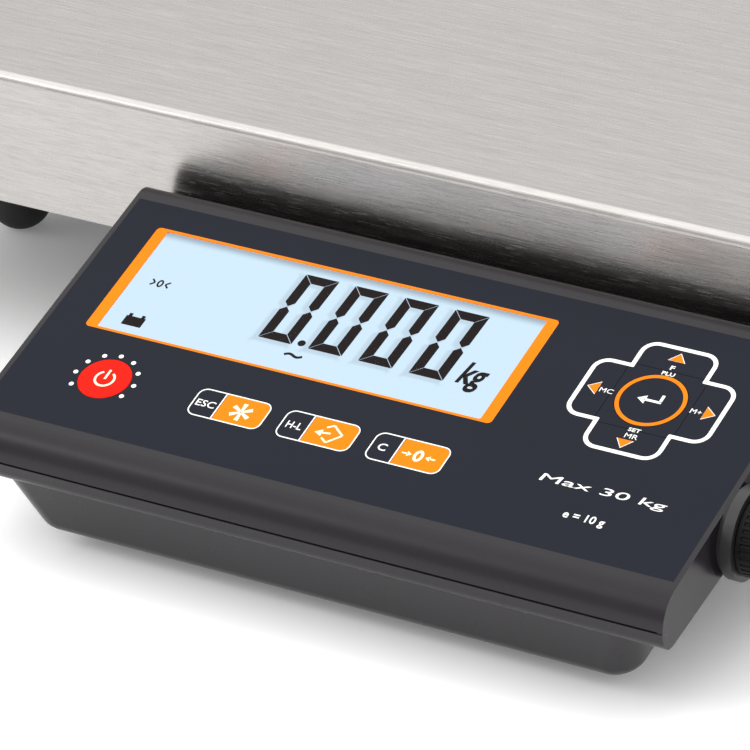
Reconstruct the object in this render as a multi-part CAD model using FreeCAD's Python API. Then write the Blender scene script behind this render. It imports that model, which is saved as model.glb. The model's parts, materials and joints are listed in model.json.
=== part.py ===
"""Bench platform scale: stainless pan on a single-point load cell, tilting indicator at the front."""
import FreeCAD
import Part

import math
import os

from FreeCAD import Rotation, Vector

os.makedirs("parts", exist_ok=True)

# ---------------------------------------------------------------- driving dimensions, mm
# Platform.  X across, Y from the pan's front skirt towards the back, Z up from the floor.
PAN_WIDTH = 500.0
PAN_DEPTH = 400.0
PAN_TOP = 86.4
SKIRT_HEIGHT = 38.0
PAN_SHEET = 1.5
FOLD_RADIUS = 2.4
PAN_CORNER = 4.0

FOOT_X = 200.7
FOOT_FRONT_Y = 80.0
FOOT_BACK_Y = PAN_DEPTH - FOOT_FRONT_Y
PAD_RADIUS = 9.5
PAD_FLAT = 0.5
PAD_HEIGHT = 12.5
STUD_RADIUS = 4.0
STUD_SPARE = 14.0
RUNNING_GAP = 0.06

CHANNEL_WIDTH = 30.0
CHANNEL_WALL = 2.5
CROSS_WIDTH = 70.0
CELL_PLATE = 4.0
BASE_BOTTOM = 18.0
BASE_TOP = 38.0
UPPER_BOTTOM = 67.0
BUFFER_HEIGHT = 3.0
BUFFER_RADIUS = 9.0
UPPER_TOP = PAN_TOP - PAN_SHEET - BUFFER_HEIGHT
UPPER_X = 212.0
UPPER_MARGIN = 34.0

CELL_LENGTH = 150.0
CELL_WIDTH = 40.0
CELL_HEIGHT = 24.0
SPACER = 2.5
CELL_BOTTOM = BASE_TOP + SPACER
CELL_TOP = CELL_BOTTOM + CELL_HEIGHT
CELL_END = 40.0
BOLT_SPACING = 25.0
BOLT_RADIUS = 4.0
STOP_GAP = 0.8

# Indicator, in its own frame: x as the platform's, y up the face, z out of the face.
FACE_TILT = 19.4
FACE_Y = -42.0
FACE_Z = 57.0
CASE_HALF = 100.1
CHEEK = 1.5
WALL = 2.5
OVERLAY_FRONT = -55.8
OVERLAY_BACK = 28.7
OVERLAY_THICK = 1.0
CASE_BACK = 36.8
RIM_BACK = 34.0
NOSE_RADIUS = 9.1
NOSE_CENTRE = OVERLAY_FRONT - 2.5
BACK_RADIUS = 6.0
PARTING_FRONT = -6.9
PARTING_SLOPE = -0.075
RIM_HEIGHT = 7.2
RIM_ROUND = 1.6
RIM_FRONT_ROUND = 4.5
CUT_MARGIN = 4.0
SEAM_GAP = 0.35
SEAM_DEPTH = 1.0
TUB_START = -13.0
TUB_DEPTH = -35.0
TUB_TOP_HALF = 93.6
TUB_LOW_HALF = 86.9
TUB_TOP_V = (-66.0, 24.0)
TUB_LOW_V = (-62.9, 20.0)
TUB_CORNER = 8.6
TUB_ROUND = 6.4

LCD_X = -29.0
SURROUND_WIDTH = 120.5
SURROUND_HEIGHT = 40.0
WINDOW_WIDTH = 114.0
WINDOW_HEIGHT = 38.4
FACE_CORNER = 1.3
FILM_THICK = 0.3
GLASS_WIDTH = 119.0
GLASS_HEIGHT = 39.2
GLASS_BACK = -3.1
LIGHT_WIDTH = 116.0
LIGHT_BACK = -6.6

KEY_GAP = 0.15
POWER_KEY = (LCD_X - 44.5, -36.5)
POWER_RADIUS = 7.24
FUNCTION_KEYS = {"key_escape": -17.9, "key_units": 8.2, "key_clear": 34.3}
FUNCTION_WIDTH = 21.5
FUNCTION_HEIGHT = 10.0
FUNCTION_V = -36.2
FUNCTION_CORNER = 2.5
NAV = (LCD_X + 95.7, 0.5)
ENTER_RADIUS = 9.4
ARM_INNER = 11.2
ARM_OUTER = 19.8
ARM_HALF = 10.4
ARM_CORNER = 3.8
CIRCUIT_THICK = 0.4
CIRCUIT_TOP = -2.0
DOME_HEIGHT = 0.35
DOME_RADIUS = 4.0

PIVOT_V = -26.0
EAR_RADIUS = 12.2
EAR_THICK = 3.0
WASHER = 1.0
EAR_GAP = 0.4
LEFT_EAR_RADIUS = 6.0
LEFT_EAR_THICK = 2.0
KNOB_RADIUS = 10.6
KNOB_LENGTH = 9.0
KNOB_RIBS = 36
KNOB_STUD = 3.0
KEY_SOCKET = 2.0
WASHER_RADIUS = 11.0
ARM_LOW = 27.0
ARM_HIGH = 43.0
BRACKET_BACK = FOOT_FRONT_Y - CHANNEL_WIDTH / 2
BRACKET_SCREW_X = (-70.0, 70.0)
BRACKET_SCREW_Z = 31.0
INSERT_RADIUS = 6.0
INSERT_LENGTH = 8.6
GLAND_X = 30.0
GLAND_RADIUS = 4.5
GLAND_BORE = 2.3
CASE_SCREWS = ((-97.4, -48.0), (97.4, -48.0), (-97.4, 20.0), (97.4, 20.0))
CASE_SCREW_RADIUS = 1.5
SCREW_HEAD = 1.8
SCREW_LENGTH = 6.0
SCREW_HEAD_RADIUS = 2.6
SPOT_FACE = 0.3
POST_RADIUS = 3.3
BOARD_HALF = 66.0
BOARD_V = (-38.0, 22.0)
BOARD_TOP = -11.0
BOARD_THICK = 1.6
BOARD_POSTS = ((-60.0, -33.0), (0.0, -33.0), (60.0, -33.0), (60.0, 17.0))
SOCKET_N = -28.0
SOCKET_V = 27.0
PLINTH_HALF = 68.0
SERIAL_X = 45.0
POWER_INLET_X = -50.0
CASE_GLAND_X = 0.0
SERIAL_LOCK_SPACING = 25.0
SERIAL_LOCK_RADIUS = 1.4
SERIAL_FLANGE_WIDTH = 30.8
SERIAL_FLANGE_HEIGHT = 12.4
INLET_RADIUS = 4.6

# ---------------------------------------------------------------- placement of the two frames
tilt = math.radians(FACE_TILT)
nose_reach = -(FACE_Y + NOSE_CENTRE * math.cos(tilt) + NOSE_RADIUS * math.sin(tilt) - NOSE_RADIUS)
SHIFT_Y = (nose_reach - PAN_DEPTH) / 2


def face_point(x, v, n):
    """A point of the indicator's frame, in the platform's frame."""
    y = FACE_Y + v * math.cos(tilt) - n * math.sin(tilt)
    z = FACE_Z + v * math.sin(tilt) + n * math.cos(tilt)
    return Vector(x, y, z)


def on_face(shape):
    """Carry a shape from the indicator's frame into the platform's."""
    moved = shape.copy()
    placing = FreeCAD.Placement(Vector(0, FACE_Y, FACE_Z), Rotation(Vector(1, 0, 0), FACE_TILT))
    moved.Placement = placing.multiply(moved.Placement)
    return moved


def save(node, *shapes):
    """Write one node; the origin is under the middle of the whole scale's box."""
    solids = []
    for shape in shapes:
        solids.extend(shape.Solids)
    whole = solids[0] if len(solids) == 1 else Part.makeCompound(solids)
    whole = whole.copy()
    whole.translate(Vector(0, SHIFT_Y, 0))
    whole.exportStep("parts/" + node + ".step")
    box = whole.BoundBox
    print("%-24s %2d solids  %9.0f mm3  valid %s  z %.1f..%.1f" % (
        node, len(solids), whole.Volume, whole.isValid(), box.ZMin, box.ZMax))


# ---------------------------------------------------------------- shape helpers
def block(x0, x1, y0, y1, z0, z1):
    return Part.makeBox(x1 - x0, y1 - y0, z1 - z0, Vector(x0, y0, z0))


def rod(radius, x, y, z0, z1):
    return Part.makeCylinder(radius, z1 - z0, Vector(x, y, z0), Vector(0, 0, 1))


def rod_x(radius, x0, x1, y, z):
    return Part.makeCylinder(radius, x1 - x0, Vector(x0, y, z), Vector(1, 0, 0))


def rod_y(radius, x, y0, y1, z):
    return Part.makeCylinder(radius, y1 - y0, Vector(x, y0, z), Vector(0, 1, 0))


def hexagon(across, x, y, z0, z1):
    """A hexagonal prism standing on z0, with its size across the flats."""
    reach = across / math.sqrt(3)
    points = []
    for step in range(7):
        angle = math.radians(60 * step)
        points.append(Vector(x + reach * math.cos(angle), y + reach * math.sin(angle), z0))
    return Part.Face(Part.makePolygon(points)).extrude(Vector(0, 0, z1 - z0))


def edges_along(shape, direction):
    """The straight edges that run along a direction."""
    found = []
    for edge in shape.Edges:
        if edge.Curve.TypeId != "Part::GeomLine":
            continue
        run = edge.Vertexes[1].Point.sub(edge.Vertexes[0].Point)
        if run.cross(direction).Length < 1e-6 * run.Length:
            found.append(edge)
    return found


def plate(x, y, width, height, corner, z0, z1):
    """A flat plate centred on x, y, with rounded corners."""
    body = block(x - width / 2, x + width / 2, y - height / 2, y + height / 2, z0, z1)
    return body.makeFillet(corner, edges_along(body, Vector(0, 0, 1)))


def mirrored(shape):
    """The same piece at the other end of the scale."""
    return shape.mirror(Vector(0, 0, 0), Vector(1, 0, 0))


def corners(half_x, y_front, y_back):
    """Four places: front left, front right, back left, back right."""
    return [(-half_x, y_front), (half_x, y_front), (-half_x, y_back), (half_x, y_back)]


# ---------------------------------------------------------------- platform
def make_pan():
    """One folded sheet: flat top, four skirts, welded corners."""
    bottom = PAN_TOP - SKIRT_HEIGHT

    def shell(inset, top, corner, fold):
        body = block(-PAN_WIDTH / 2 + inset, PAN_WIDTH / 2 - inset, inset, PAN_DEPTH - inset, bottom, top)
        body = body.makeFillet(corner, edges_along(body, Vector(0, 0, 1)))
        rim = [edge for edge in body.Edges
               if edge.BoundBox.ZMin > top - 1e-6]
        return body.makeFillet(fold, rim)

    outer = shell(0, PAN_TOP, PAN_CORNER, FOLD_RADIUS)
    inner = shell(PAN_SHEET, PAN_TOP - PAN_SHEET, PAN_CORNER - PAN_SHEET, FOLD_RADIUS - PAN_SHEET)
    save("pan", outer.cut(inner))


def channel(x0, x1, y0, y1, z0, z1):
    """The outside and the hollow of a channel that is open at the bottom."""
    outside = block(x0, x1, y0, y1, z0, z1)
    hollow = block(x0 + CHANNEL_WALL, x1 - CHANNEL_WALL, y0 + CHANNEL_WALL, y1 - CHANNEL_WALL,
                   z0 - 1, z1 - CHANNEL_WALL)
    return outside, hollow


def frame_of_channels(half_x, y0, y1, z0, z1):
    """A rectangle of channels with two cross channels under the load cell."""
    width = CHANNEL_WIDTH
    middle = PAN_DEPTH / 2
    runs = [
        channel(-half_x, half_x, y0, y0 + width, z0, z1),
        channel(-half_x, half_x, y1 - width, y1, z0, z1),
        channel(-half_x, -half_x + width, y0, y1, z0, z1),
        channel(half_x - width, half_x, y0, y1, z0, z1),
        channel(-half_x, half_x, middle - CROSS_WIDTH / 2, middle + CROSS_WIDTH / 2, z0, z1),
    ]
    outside = runs[0][0].multiFuse([run[0] for run in runs[1:]])
    hollow = runs[0][1].multiFuse([run[1] for run in runs[1:]])
    return outside.cut(hollow).removeSplitter()


def cell_bolt_places(side):
    """The two bolt centres at one end of the load cell: side -1 fixed, +1 live."""
    x = side * (CELL_LENGTH / 2 - CELL_END / 2)
    middle = PAN_DEPTH / 2
    return [(x - BOLT_SPACING / 2, middle), (x + BOLT_SPACING / 2, middle)]


def make_base():
    """Base frame of bottom-open channels, with foot bushes and holes."""
    y0 = FOOT_FRONT_Y - CHANNEL_WIDTH / 2
    y1 = FOOT_BACK_Y + CHANNEL_WIDTH / 2
    half_x = FOOT_X + CHANNEL_WIDTH / 2
    frame = frame_of_channels(half_x, y0, y1, BASE_BOTTOM, BASE_TOP)
    for x, y in corners(FOOT_X, FOOT_FRONT_Y, FOOT_BACK_Y):
        bush = rod(8.0, x, y, BASE_TOP - 12, BASE_TOP - CHANNEL_WALL / 2)
        frame = frame.fuse(bush)
        frame = frame.cut(rod(STUD_RADIUS + RUNNING_GAP, x, y, BASE_BOTTOM - 1, BASE_TOP + 1))
    for x, y in cell_bolt_places(-1):
        frame = frame.cut(rod(BOLT_RADIUS + 0.3, x, y, BASE_TOP - 10, BASE_TOP + 1))
    for x, y in stop_places():
        frame = frame.cut(rod(3.0, x, y, BASE_TOP - 10, BASE_TOP + 1))
    for x in BRACKET_SCREW_X:
        frame = frame.cut(rod_y(2.5, x, y0 - 1, y0 + 10, BRACKET_SCREW_Z))
    frame = frame.cut(rod_y(GLAND_RADIUS, GLAND_X, y0 - 1, y0 + 6, BASE_BOTTOM + 9))
    save("base_frame", frame.removeSplitter())


def stop_places():
    """The overload stops stand beside the feet, on the side channels."""
    return corners(FOOT_X, FOOT_FRONT_Y + 34, FOOT_BACK_Y - 34)


def make_stops():
    screws = []
    nuts = []
    tip = UPPER_BOTTOM - STOP_GAP
    for x, y in stop_places():
        shank = rod(2.9, x, y, BASE_TOP - 6, tip - 3)
        cap = hexagon(10.0, x, y, tip - 5, tip)
        screws.append(shank.fuse(cap).removeSplitter())
        nut = hexagon(10.0, x, y, BASE_TOP, BASE_TOP + 5)
        nuts.append(nut.cut(rod(2.9, x, y, BASE_TOP - 1, BASE_TOP + 6)))
    save("overload_stop_screws", *screws)
    save("overload_stop_nuts", *nuts)


def make_feet():
    names = ["front_left", "front_right", "back_left", "back_right"]
    nuts = []
    dome = PAD_RADIUS - PAD_FLAT
    for name, (x, y) in zip(names, corners(FOOT_X, FOOT_FRONT_Y, FOOT_BACK_Y)):
        pad = rod(PAD_RADIUS, x, y, dome, PAD_HEIGHT)
        pad = pad.makeChamfer(1.0, [edge for edge in pad.Edges if edge.BoundBox.ZMin > PAD_HEIGHT - 0.1])
        ball = Part.makeSphere(PAD_RADIUS, Vector(x, y, dome))
        pad = pad.fuse(ball.common(rod(PAD_RADIUS + 1, x, y, 0, dome))).removeSplitter()
        socket = rod(6.0 + RUNNING_GAP, x, y, PAD_HEIGHT - 4, PAD_HEIGHT + 1)
        save("foot_pad_" + name, pad.cut(socket))
        foot = rod(6.0, x, y, PAD_HEIGHT - 4 + RUNNING_GAP, PAD_HEIGHT + 0.5)
        collar = hexagon(14.0, x, y, PAD_HEIGHT + 0.5, PAD_HEIGHT + 3.5)
        stud = rod(STUD_RADIUS, x, y, PAD_HEIGHT + 3.5, BASE_TOP + STUD_SPARE)
        save("foot_stud_" + name, foot.multiFuse([collar, stud]).removeSplitter())
        nut = hexagon(13.0, x, y, BASE_TOP, BASE_TOP + 5)
        nuts.append(nut.cut(rod(STUD_RADIUS + RUNNING_GAP, x, y, BASE_TOP - 1, BASE_TOP + 6)))
    save("foot_lock_nuts", *nuts)


def make_upper_frame():
    """Upper frame of channels that carries the pan on four rubber buffers."""
    frame = frame_of_channels(UPPER_X, UPPER_MARGIN, PAN_DEPTH - UPPER_MARGIN, UPPER_BOTTOM, UPPER_TOP)
    half = CROSS_WIDTH / 2
    cell_plate = block(-CELL_LENGTH / 2, CELL_LENGTH / 2, PAN_DEPTH / 2 - half, PAN_DEPTH / 2 + half,
                       UPPER_BOTTOM, UPPER_BOTTOM + CELL_PLATE)
    frame = frame.fuse(cell_plate)
    for x, y in stop_places():
        frame = frame.fuse(rod(9.0, x, y, UPPER_BOTTOM, UPPER_TOP - CHANNEL_WALL / 2))
    for x, y in cell_bolt_places(1):
        frame = frame.cut(rod(BOLT_RADIUS + 0.3, x, y, UPPER_BOTTOM - 1, UPPER_TOP - CHANNEL_WALL))
        frame = frame.cut(rod(8.0, x, y, UPPER_BOTTOM + 8, UPPER_TOP + 1))
    buffers = []
    for x, y in corners(UPPER_X - CHANNEL_WIDTH / 2, UPPER_MARGIN + CHANNEL_WIDTH / 2,
                        PAN_DEPTH - UPPER_MARGIN - CHANNEL_WIDTH / 2):
        stem = rod(3.0, x, y, UPPER_TOP - CHANNEL_WALL, UPPER_TOP + 0.5)
        frame = frame.cut(rod(3.0, x, y, UPPER_TOP - 6, UPPER_TOP + 1))
        head = rod(BUFFER_RADIUS, x, y, UPPER_TOP, PAN_TOP - PAN_SHEET)
        head = head.makeFillet(0.8, [edge for edge in head.Edges if edge.Closed])
        buffers.append(head.fuse(stem).removeSplitter())
    save("upper_frame", frame.removeSplitter())
    save("pan_buffers", *buffers)


def make_load_cell():
    """Single-point cell: a bar with the double-hole window that lets it bend as a parallelogram."""
    middle = PAN_DEPTH / 2
    bar = block(-CELL_LENGTH / 2, CELL_LENGTH / 2, middle - CELL_WIDTH / 2, middle + CELL_WIDTH / 2,
                CELL_BOTTOM, CELL_TOP)
    centre = (CELL_BOTTOM + CELL_TOP) / 2
    for x in (-20.0, 20.0):
        bar = bar.cut(rod_y(8.5, x, middle - CELL_WIDTH, middle + CELL_WIDTH, centre))
    bar = bar.cut(block(-20, 20, middle - CELL_WIDTH, middle + CELL_WIDTH, centre - 3.5, centre + 3.5))
    for side in (-1, 1):
        for x, y in cell_bolt_places(side):
            bar = bar.cut(rod(BOLT_RADIUS, x, y, CELL_BOTTOM - 1, CELL_TOP + 1))
    save("load_cell", bar)
    heights = {
        -1: ("cell_spacer_lower", BASE_TOP, CELL_BOTTOM),
        1: ("cell_spacer_upper", CELL_TOP, UPPER_BOTTOM),
    }
    for side, (node, z0, z1) in heights.items():
        x = side * (CELL_LENGTH / 2 - CELL_END / 2)
        half_end = CELL_END / 2
        half_width = CELL_WIDTH / 2
        piece = block(x - half_end, x + half_end, middle - half_width, middle + half_width, z0, z1)
        for hole_x, hole_y in cell_bolt_places(side):
            piece = piece.cut(rod(BOLT_RADIUS + 0.3, hole_x, hole_y, z0 - 1, z1 + 1))
        save(node, piece)
    lower = []
    for x, y in cell_bolt_places(-1):
        head = hexagon(13.0, x, y, BASE_TOP - CHANNEL_WALL - 5, BASE_TOP - CHANNEL_WALL)
        shank = rod(BOLT_RADIUS, x, y, BASE_TOP - CHANNEL_WALL, CELL_BOTTOM + 16)
        lower.append(head.fuse(shank).removeSplitter())
    save("cell_bolts_lower", *lower)
    upper = []
    for x, y in cell_bolt_places(1):
        seat = UPPER_BOTTOM + CELL_PLATE
        head = hexagon(13.0, x, y, seat, seat + 5)
        upper.append(head.fuse(rod(BOLT_RADIUS, x, y, CELL_TOP - 16, seat)).removeSplitter())
    save("cell_bolts_upper", *upper)


def make_level():
    """Bubble level on a small shelf at the back of the base frame."""
    y = FOOT_BACK_Y + CHANNEL_WIDTH / 2 + 12
    z = BASE_TOP - 10
    shelf = block(-14, 14, y - 12, y + 12, z - 3, z - 1)
    tab = block(-14, 14, y - 12, y - 10, z - 12, z - 1)
    housing = rod(10.0, 0, y, z - 1, z + 7).cut(rod(8.0, 0, y, z + 1, z + 8))
    save("level_housing", shelf.multiFuse([tab, housing]).removeSplitter())
    vial = rod(8.0, 0, y, z + 1, z + 6.5)
    top_edge = [edge for edge in vial.Edges if edge.Closed and edge.BoundBox.ZMin > z + 6]
    save("level_vial", vial.makeFillet(1.0, top_edge))


# ---------------------------------------------------------------- indicator
def parting(v):
    """Height of the joint between the two case halves, at v up the face."""
    return PARTING_FRONT + PARTING_SLOPE * (v - (NOSE_CENTRE - NOSE_RADIUS))


def case_profile(inset, x, floor_drop=0.0):
    """Side outline of the top case: rounded nose, flat face, rounded back, sloping joint line."""
    nose = NOSE_RADIUS - inset
    back = BACK_RADIUS - min(inset, BACK_RADIUS - 1.5)
    rear = CASE_BACK - inset
    front_v = NOSE_CENTRE - nose
    dip = parting(front_v) - floor_drop
    swing = math.asin(max(-1.0, min(1.0, (dip + NOSE_RADIUS) / nose)))

    def at(v, n):
        return Vector(x, v, n)

    if dip > -NOSE_RADIUS:
        start = at(NOSE_CENTRE - nose * math.cos(swing), dip)
    else:
        start = at(front_v, -NOSE_RADIUS)
    middle_angle = (math.pi / 2 + (swing if dip > -NOSE_RADIUS else 0.0)) / 2
    middle = at(NOSE_CENTRE - nose * math.cos(middle_angle), -NOSE_RADIUS + nose * math.sin(middle_angle))
    top = at(NOSE_CENTRE, -inset)
    edges = [Part.Arc(start, middle, top).toShape()]
    shoulder = at(rear - back, -inset)
    edges.append(Part.LineSegment(top, shoulder).toShape())
    half = math.sqrt(0.5)
    turned = at(rear, -inset - back)
    middle = at(rear - back + back * half, -inset - back + back * half)
    edges.append(Part.Arc(shoulder, middle, turned).toShape())
    heel = at(rear, parting(rear) - floor_drop)
    edges.append(Part.LineSegment(turned, heel).toShape())
    if dip > -NOSE_RADIUS:
        edges.append(Part.LineSegment(heel, start).toShape())
    else:
        toe = at(front_v, dip)
        edges.append(Part.LineSegment(heel, toe).toShape())
        edges.append(Part.LineSegment(toe, start).toShape())
    return Part.Face(Part.Wire(edges))


def rim_profile(inset, x, above, below):
    """Side outline of a band that follows the joint line, from above to below it."""
    v0 = NOSE_CENTRE - NOSE_RADIUS + inset
    v1 = RIM_BACK - inset
    points = [Vector(x, v0, parting(v0) + above), Vector(x, v1, parting(v1) + above),
              Vector(x, v1, parting(v1) - below), Vector(x, v0, parting(v0) - below)]
    points.append(points[0])
    return Part.Face(Part.makePolygon(points))


def across(face, half):
    return face.extrude(Vector(2 * half, 0, 0))


def tub_block(inset):
    """The tub under the rim: a box that narrows downwards, with rounded edges."""
    levels = ((TUB_START, TUB_TOP_HALF, TUB_TOP_V), (TUB_DEPTH, TUB_LOW_HALF, TUB_LOW_V))
    wires = []
    for depth, half, (v0, v1) in levels:
        n = depth + (inset if depth == TUB_DEPTH else 0)
        body = block(-half + inset, half - inset, v0 + inset, v1 - inset, n, n + 1)
        body = body.makeFillet(TUB_CORNER - inset, edges_along(body, Vector(0, 0, 1)))
        base = [face for face in body.Faces if face.BoundBox.ZMax < n + 1e-6][0]
        wires.append(base.OuterWire)
    body = Part.makeLoft(wires, True)
    floor = [edge for edge in body.Edges if edge.BoundBox.ZMax < TUB_DEPTH + inset + 1e-6]
    return body.makeFillet(TUB_ROUND - inset, floor)


def key_region(x, v, width, height, corner, grow):
    return plate(x, v, width + 2 * grow, height + 2 * grow, corner + grow, -OVERLAY_THICK, 0.0)


def nav_arms(grow):
    """The four arrow keys, as name and plate, grown by a gap for their cut-outs."""
    middle = (ARM_INNER + ARM_OUTER) / 2
    length = ARM_OUTER - ARM_INNER
    wide = 2 * ARM_HALF
    arms = {}
    for name, dx, dy in (("key_up", 0, 1), ("key_down", 0, -1), ("key_left", -1, 0), ("key_right", 1, 0)):
        x = NAV[0] + dx * middle
        v = NAV[1] + dy * middle
        width = (length if dx else wide) + 2 * grow
        height = (wide if dx else length) + 2 * grow
        body = block(x - width / 2, x + width / 2, v - height / 2, v + height / 2, -OVERLAY_THICK, 0.0)
        outer = []
        for edge in edges_along(body, Vector(0, 0, 1)):
            centre = edge.BoundBox.Center
            away = (centre.x - NAV[0]) * dx + (centre.y - NAV[1]) * dy
            if away > middle:
                outer.append(edge)
        arms[name] = body.makeFillet(ARM_CORNER + grow, outer)
    return arms


def key_plates(grow=0.0):
    """Every key's plate by name; grow widens them into the overlay's cut-outs."""
    keys = {"key_power": rod(POWER_RADIUS + grow, POWER_KEY[0], POWER_KEY[1], -OVERLAY_THICK, 0.0)}
    for name, left in FUNCTION_KEYS.items():
        x = LCD_X + left + FUNCTION_WIDTH / 2
        keys[name] = key_region(x, FUNCTION_V, FUNCTION_WIDTH, FUNCTION_HEIGHT, FUNCTION_CORNER, grow)
    keys.update(nav_arms(grow))
    keys["key_enter"] = rod(ENTER_RADIUS + grow, NAV[0], NAV[1], -OVERLAY_THICK, 0.0)
    return keys


def circuit_outline(grow, z0, z1):
    """L-shaped area of the keypad's circuit sheet: the lower row and the arrow keys."""
    row = block(POWER_KEY[0] - 11 - grow, NAV[0] + 22 + grow, -47 - grow, -26 + grow, z0, z1)
    arrows = block(NAV[0] - 22 - grow, NAV[0] + 22 + grow, -47 - grow, NAV[1] + 22 + grow, z0, z1)
    return row.fuse(arrows).removeSplitter()


def pivot_rod(radius, side, start, length):
    """A rod on the tilt axis, outwards from start at one end of the case."""
    x0 = start if side > 0 else -start - length
    return rod_x(radius, x0, x0 + length, PIVOT_V, parting(PIVOT_V))


def make_top_case():
    outer = across(case_profile(0.0, -CASE_HALF), CASE_HALF)
    inner_half = CASE_HALF - WALL
    hollow = across(case_profile(WALL + OVERLAY_THICK, -inner_half, 1.0), inner_half)
    top = outer.cut(hollow)
    wide = CASE_HALF + CUT_MARGIN
    joint = across(rim_profile(-CUT_MARGIN, -wide, 0.0, 40.0), wide)
    seam = across(rim_profile(-CUT_MARGIN, -wide, SEAM_GAP, 0.0), wide)
    core = rim_profile(SEAM_DEPTH, SEAM_DEPTH - CASE_HALF, 1.0, 1.0)
    seam = seam.cut(across(core, CASE_HALF - SEAM_DEPTH))
    underside = -OVERLAY_THICK - WALL
    for x, v in CASE_SCREWS:
        top = top.fuse(rod(POST_RADIUS, x, v, underside - 14, underside).common(outer))
    for x, v in BOARD_POSTS:
        top = top.fuse(rod(POST_RADIUS, x, v, BOARD_TOP, underside))
    lowered = top.cut(joint).cut(seam)
    for x, v in BOARD_POSTS:
        lowered = lowered.fuse(rod(POST_RADIUS, x, v, BOARD_TOP, underside))
        lowered = lowered.cut(rod(CASE_SCREW_RADIUS, x, v, BOARD_TOP - 1, BOARD_TOP + 5))
    top = lowered
    for x, v in CASE_SCREWS:
        top = top.cut(rod(CASE_SCREW_RADIUS, x, v, -40, underside))
    top = top.cut(block(-CASE_HALF - 1, CASE_HALF + 1, OVERLAY_FRONT, OVERLAY_BACK, -OVERLAY_THICK, 1))
    glass_width = GLASS_WIDTH + 2 * KEY_GAP
    glass_height = GLASS_HEIGHT + 2 * KEY_GAP
    top = top.cut(plate(LCD_X, 0, glass_width, glass_height, FACE_CORNER / 2, -8, 1))
    top = top.cut(circuit_outline(0.3, CIRCUIT_TOP - CIRCUIT_THICK, 1))
    for side in (-1, 1):
        top = top.cut(pivot_rod(INSERT_RADIUS, side, CASE_HALF - INSERT_LENGTH, 2 * INSERT_LENGTH))
    save("top_case", on_face(top.removeSplitter()))


def screw_seat(v):
    """How high the spot face under a case screw's head lies, cut into the sloping underside."""
    return parting(v) - RIM_HEIGHT + SPOT_FACE


def make_bottom_case():
    rim = across(rim_profile(0.0, -CASE_HALF - CHEEK, 0.0, RIM_HEIGHT), CASE_HALF + CHEEK)
    lower = [edge for edge in rim.Edges
             if edge.BoundBox.Center.z < parting(edge.BoundBox.Center.y) - RIM_HEIGHT + 0.1]
    front = [edge for edge in lower if edge.BoundBox.Center.y < NOSE_CENTRE]
    rim = rim.makeFillet(RIM_FRONT_ROUND, front)
    inner_half = CASE_HALF - WALL
    rim_hollow = across(rim_profile(WALL, -inner_half, 1.0, RIM_HEIGHT - WALL), inner_half)
    plinth = block(-PLINTH_HALF, PLINTH_HALF, 10, SOCKET_V, TUB_DEPTH, SOCKET_N + 7)
    plinth = plinth.makeFillet(3.0, [edge for edge in edges_along(plinth, Vector(0, 0, 1))
                                     if edge.BoundBox.Center.y > SOCKET_V - 1])
    bottom = rim.multiFuse([tub_block(0.0), plinth]).cut(rim_hollow)
    for x, v in CASE_SCREWS:
        bottom = bottom.fuse(rod(POST_RADIUS, x, v, parting(v) - RIM_HEIGHT + 0.5, parting(v) + 2))
        bottom = bottom.cut(rod(CASE_SCREW_RADIUS, x, v, -40, 0))
        bottom = bottom.cut(rod(SCREW_HEAD_RADIUS + 0.2, x, v, -40, screw_seat(v)))
    bottom = bottom.cut(tub_block(WALL))
    above = rim_profile(-CUT_MARGIN, -CASE_HALF - CUT_MARGIN, 30.0, 0.0)
    bottom = bottom.cut(across(above, CASE_HALF + CUT_MARGIN))
    for v in (-37.5, 1.7):
        bottom = bottom.fuse(block(-55, 5, v, v + 1.8, TUB_DEPTH + 1, TUB_DEPTH + 9))
    for side in (-1, 1):
        bottom = bottom.cut(pivot_rod(INSERT_RADIUS, side, CASE_HALF - INSERT_LENGTH, 2 * INSERT_LENGTH))
    bottom = bottom.cut(serial_outline(0.0, 15, 40))
    bottom = bottom.cut(rod_y(INLET_RADIUS, POWER_INLET_X, 15, 40, SOCKET_N))
    bottom = bottom.cut(rod_y(GLAND_RADIUS, CASE_GLAND_X, 15, 40, SOCKET_N))
    save("bottom_case", on_face(bottom.removeSplitter()))


def make_case_trim():
    """End cheeks, and the screws that hold the case halves and the board, all of one size."""
    for side, name in ((-1, "left"), (1, "right")):
        start = CASE_HALF if side > 0 else -CASE_HALF - CHEEK
        cheek = case_profile(0.0, start).extrude(Vector(CHEEK, 0, 0))
        cheek = cheek.cut(pivot_rod(INSERT_RADIUS, side, CASE_HALF - 1, CHEEK + 2))
        save("end_cheek_" + name, on_face(cheek))
    seats = [(x, v, screw_seat(v)) for x, v in CASE_SCREWS]
    seats.extend((x, v, BOARD_TOP - BOARD_THICK) for x, v in BOARD_POSTS)
    screws = []
    for x, v, seat in seats:
        head = rod(SCREW_HEAD_RADIUS, x, v, seat - SCREW_HEAD, seat)
        head = head.cut(block(x - 3, x + 3, v - 0.4, v + 0.4, seat - SCREW_HEAD - 1, seat - 1))
        shank = rod(CASE_SCREW_RADIUS, x, v, seat, seat + SCREW_LENGTH)
        screws.append(on_face(head.fuse(shank).removeSplitter()))
    save("case_screws", *screws)


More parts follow.
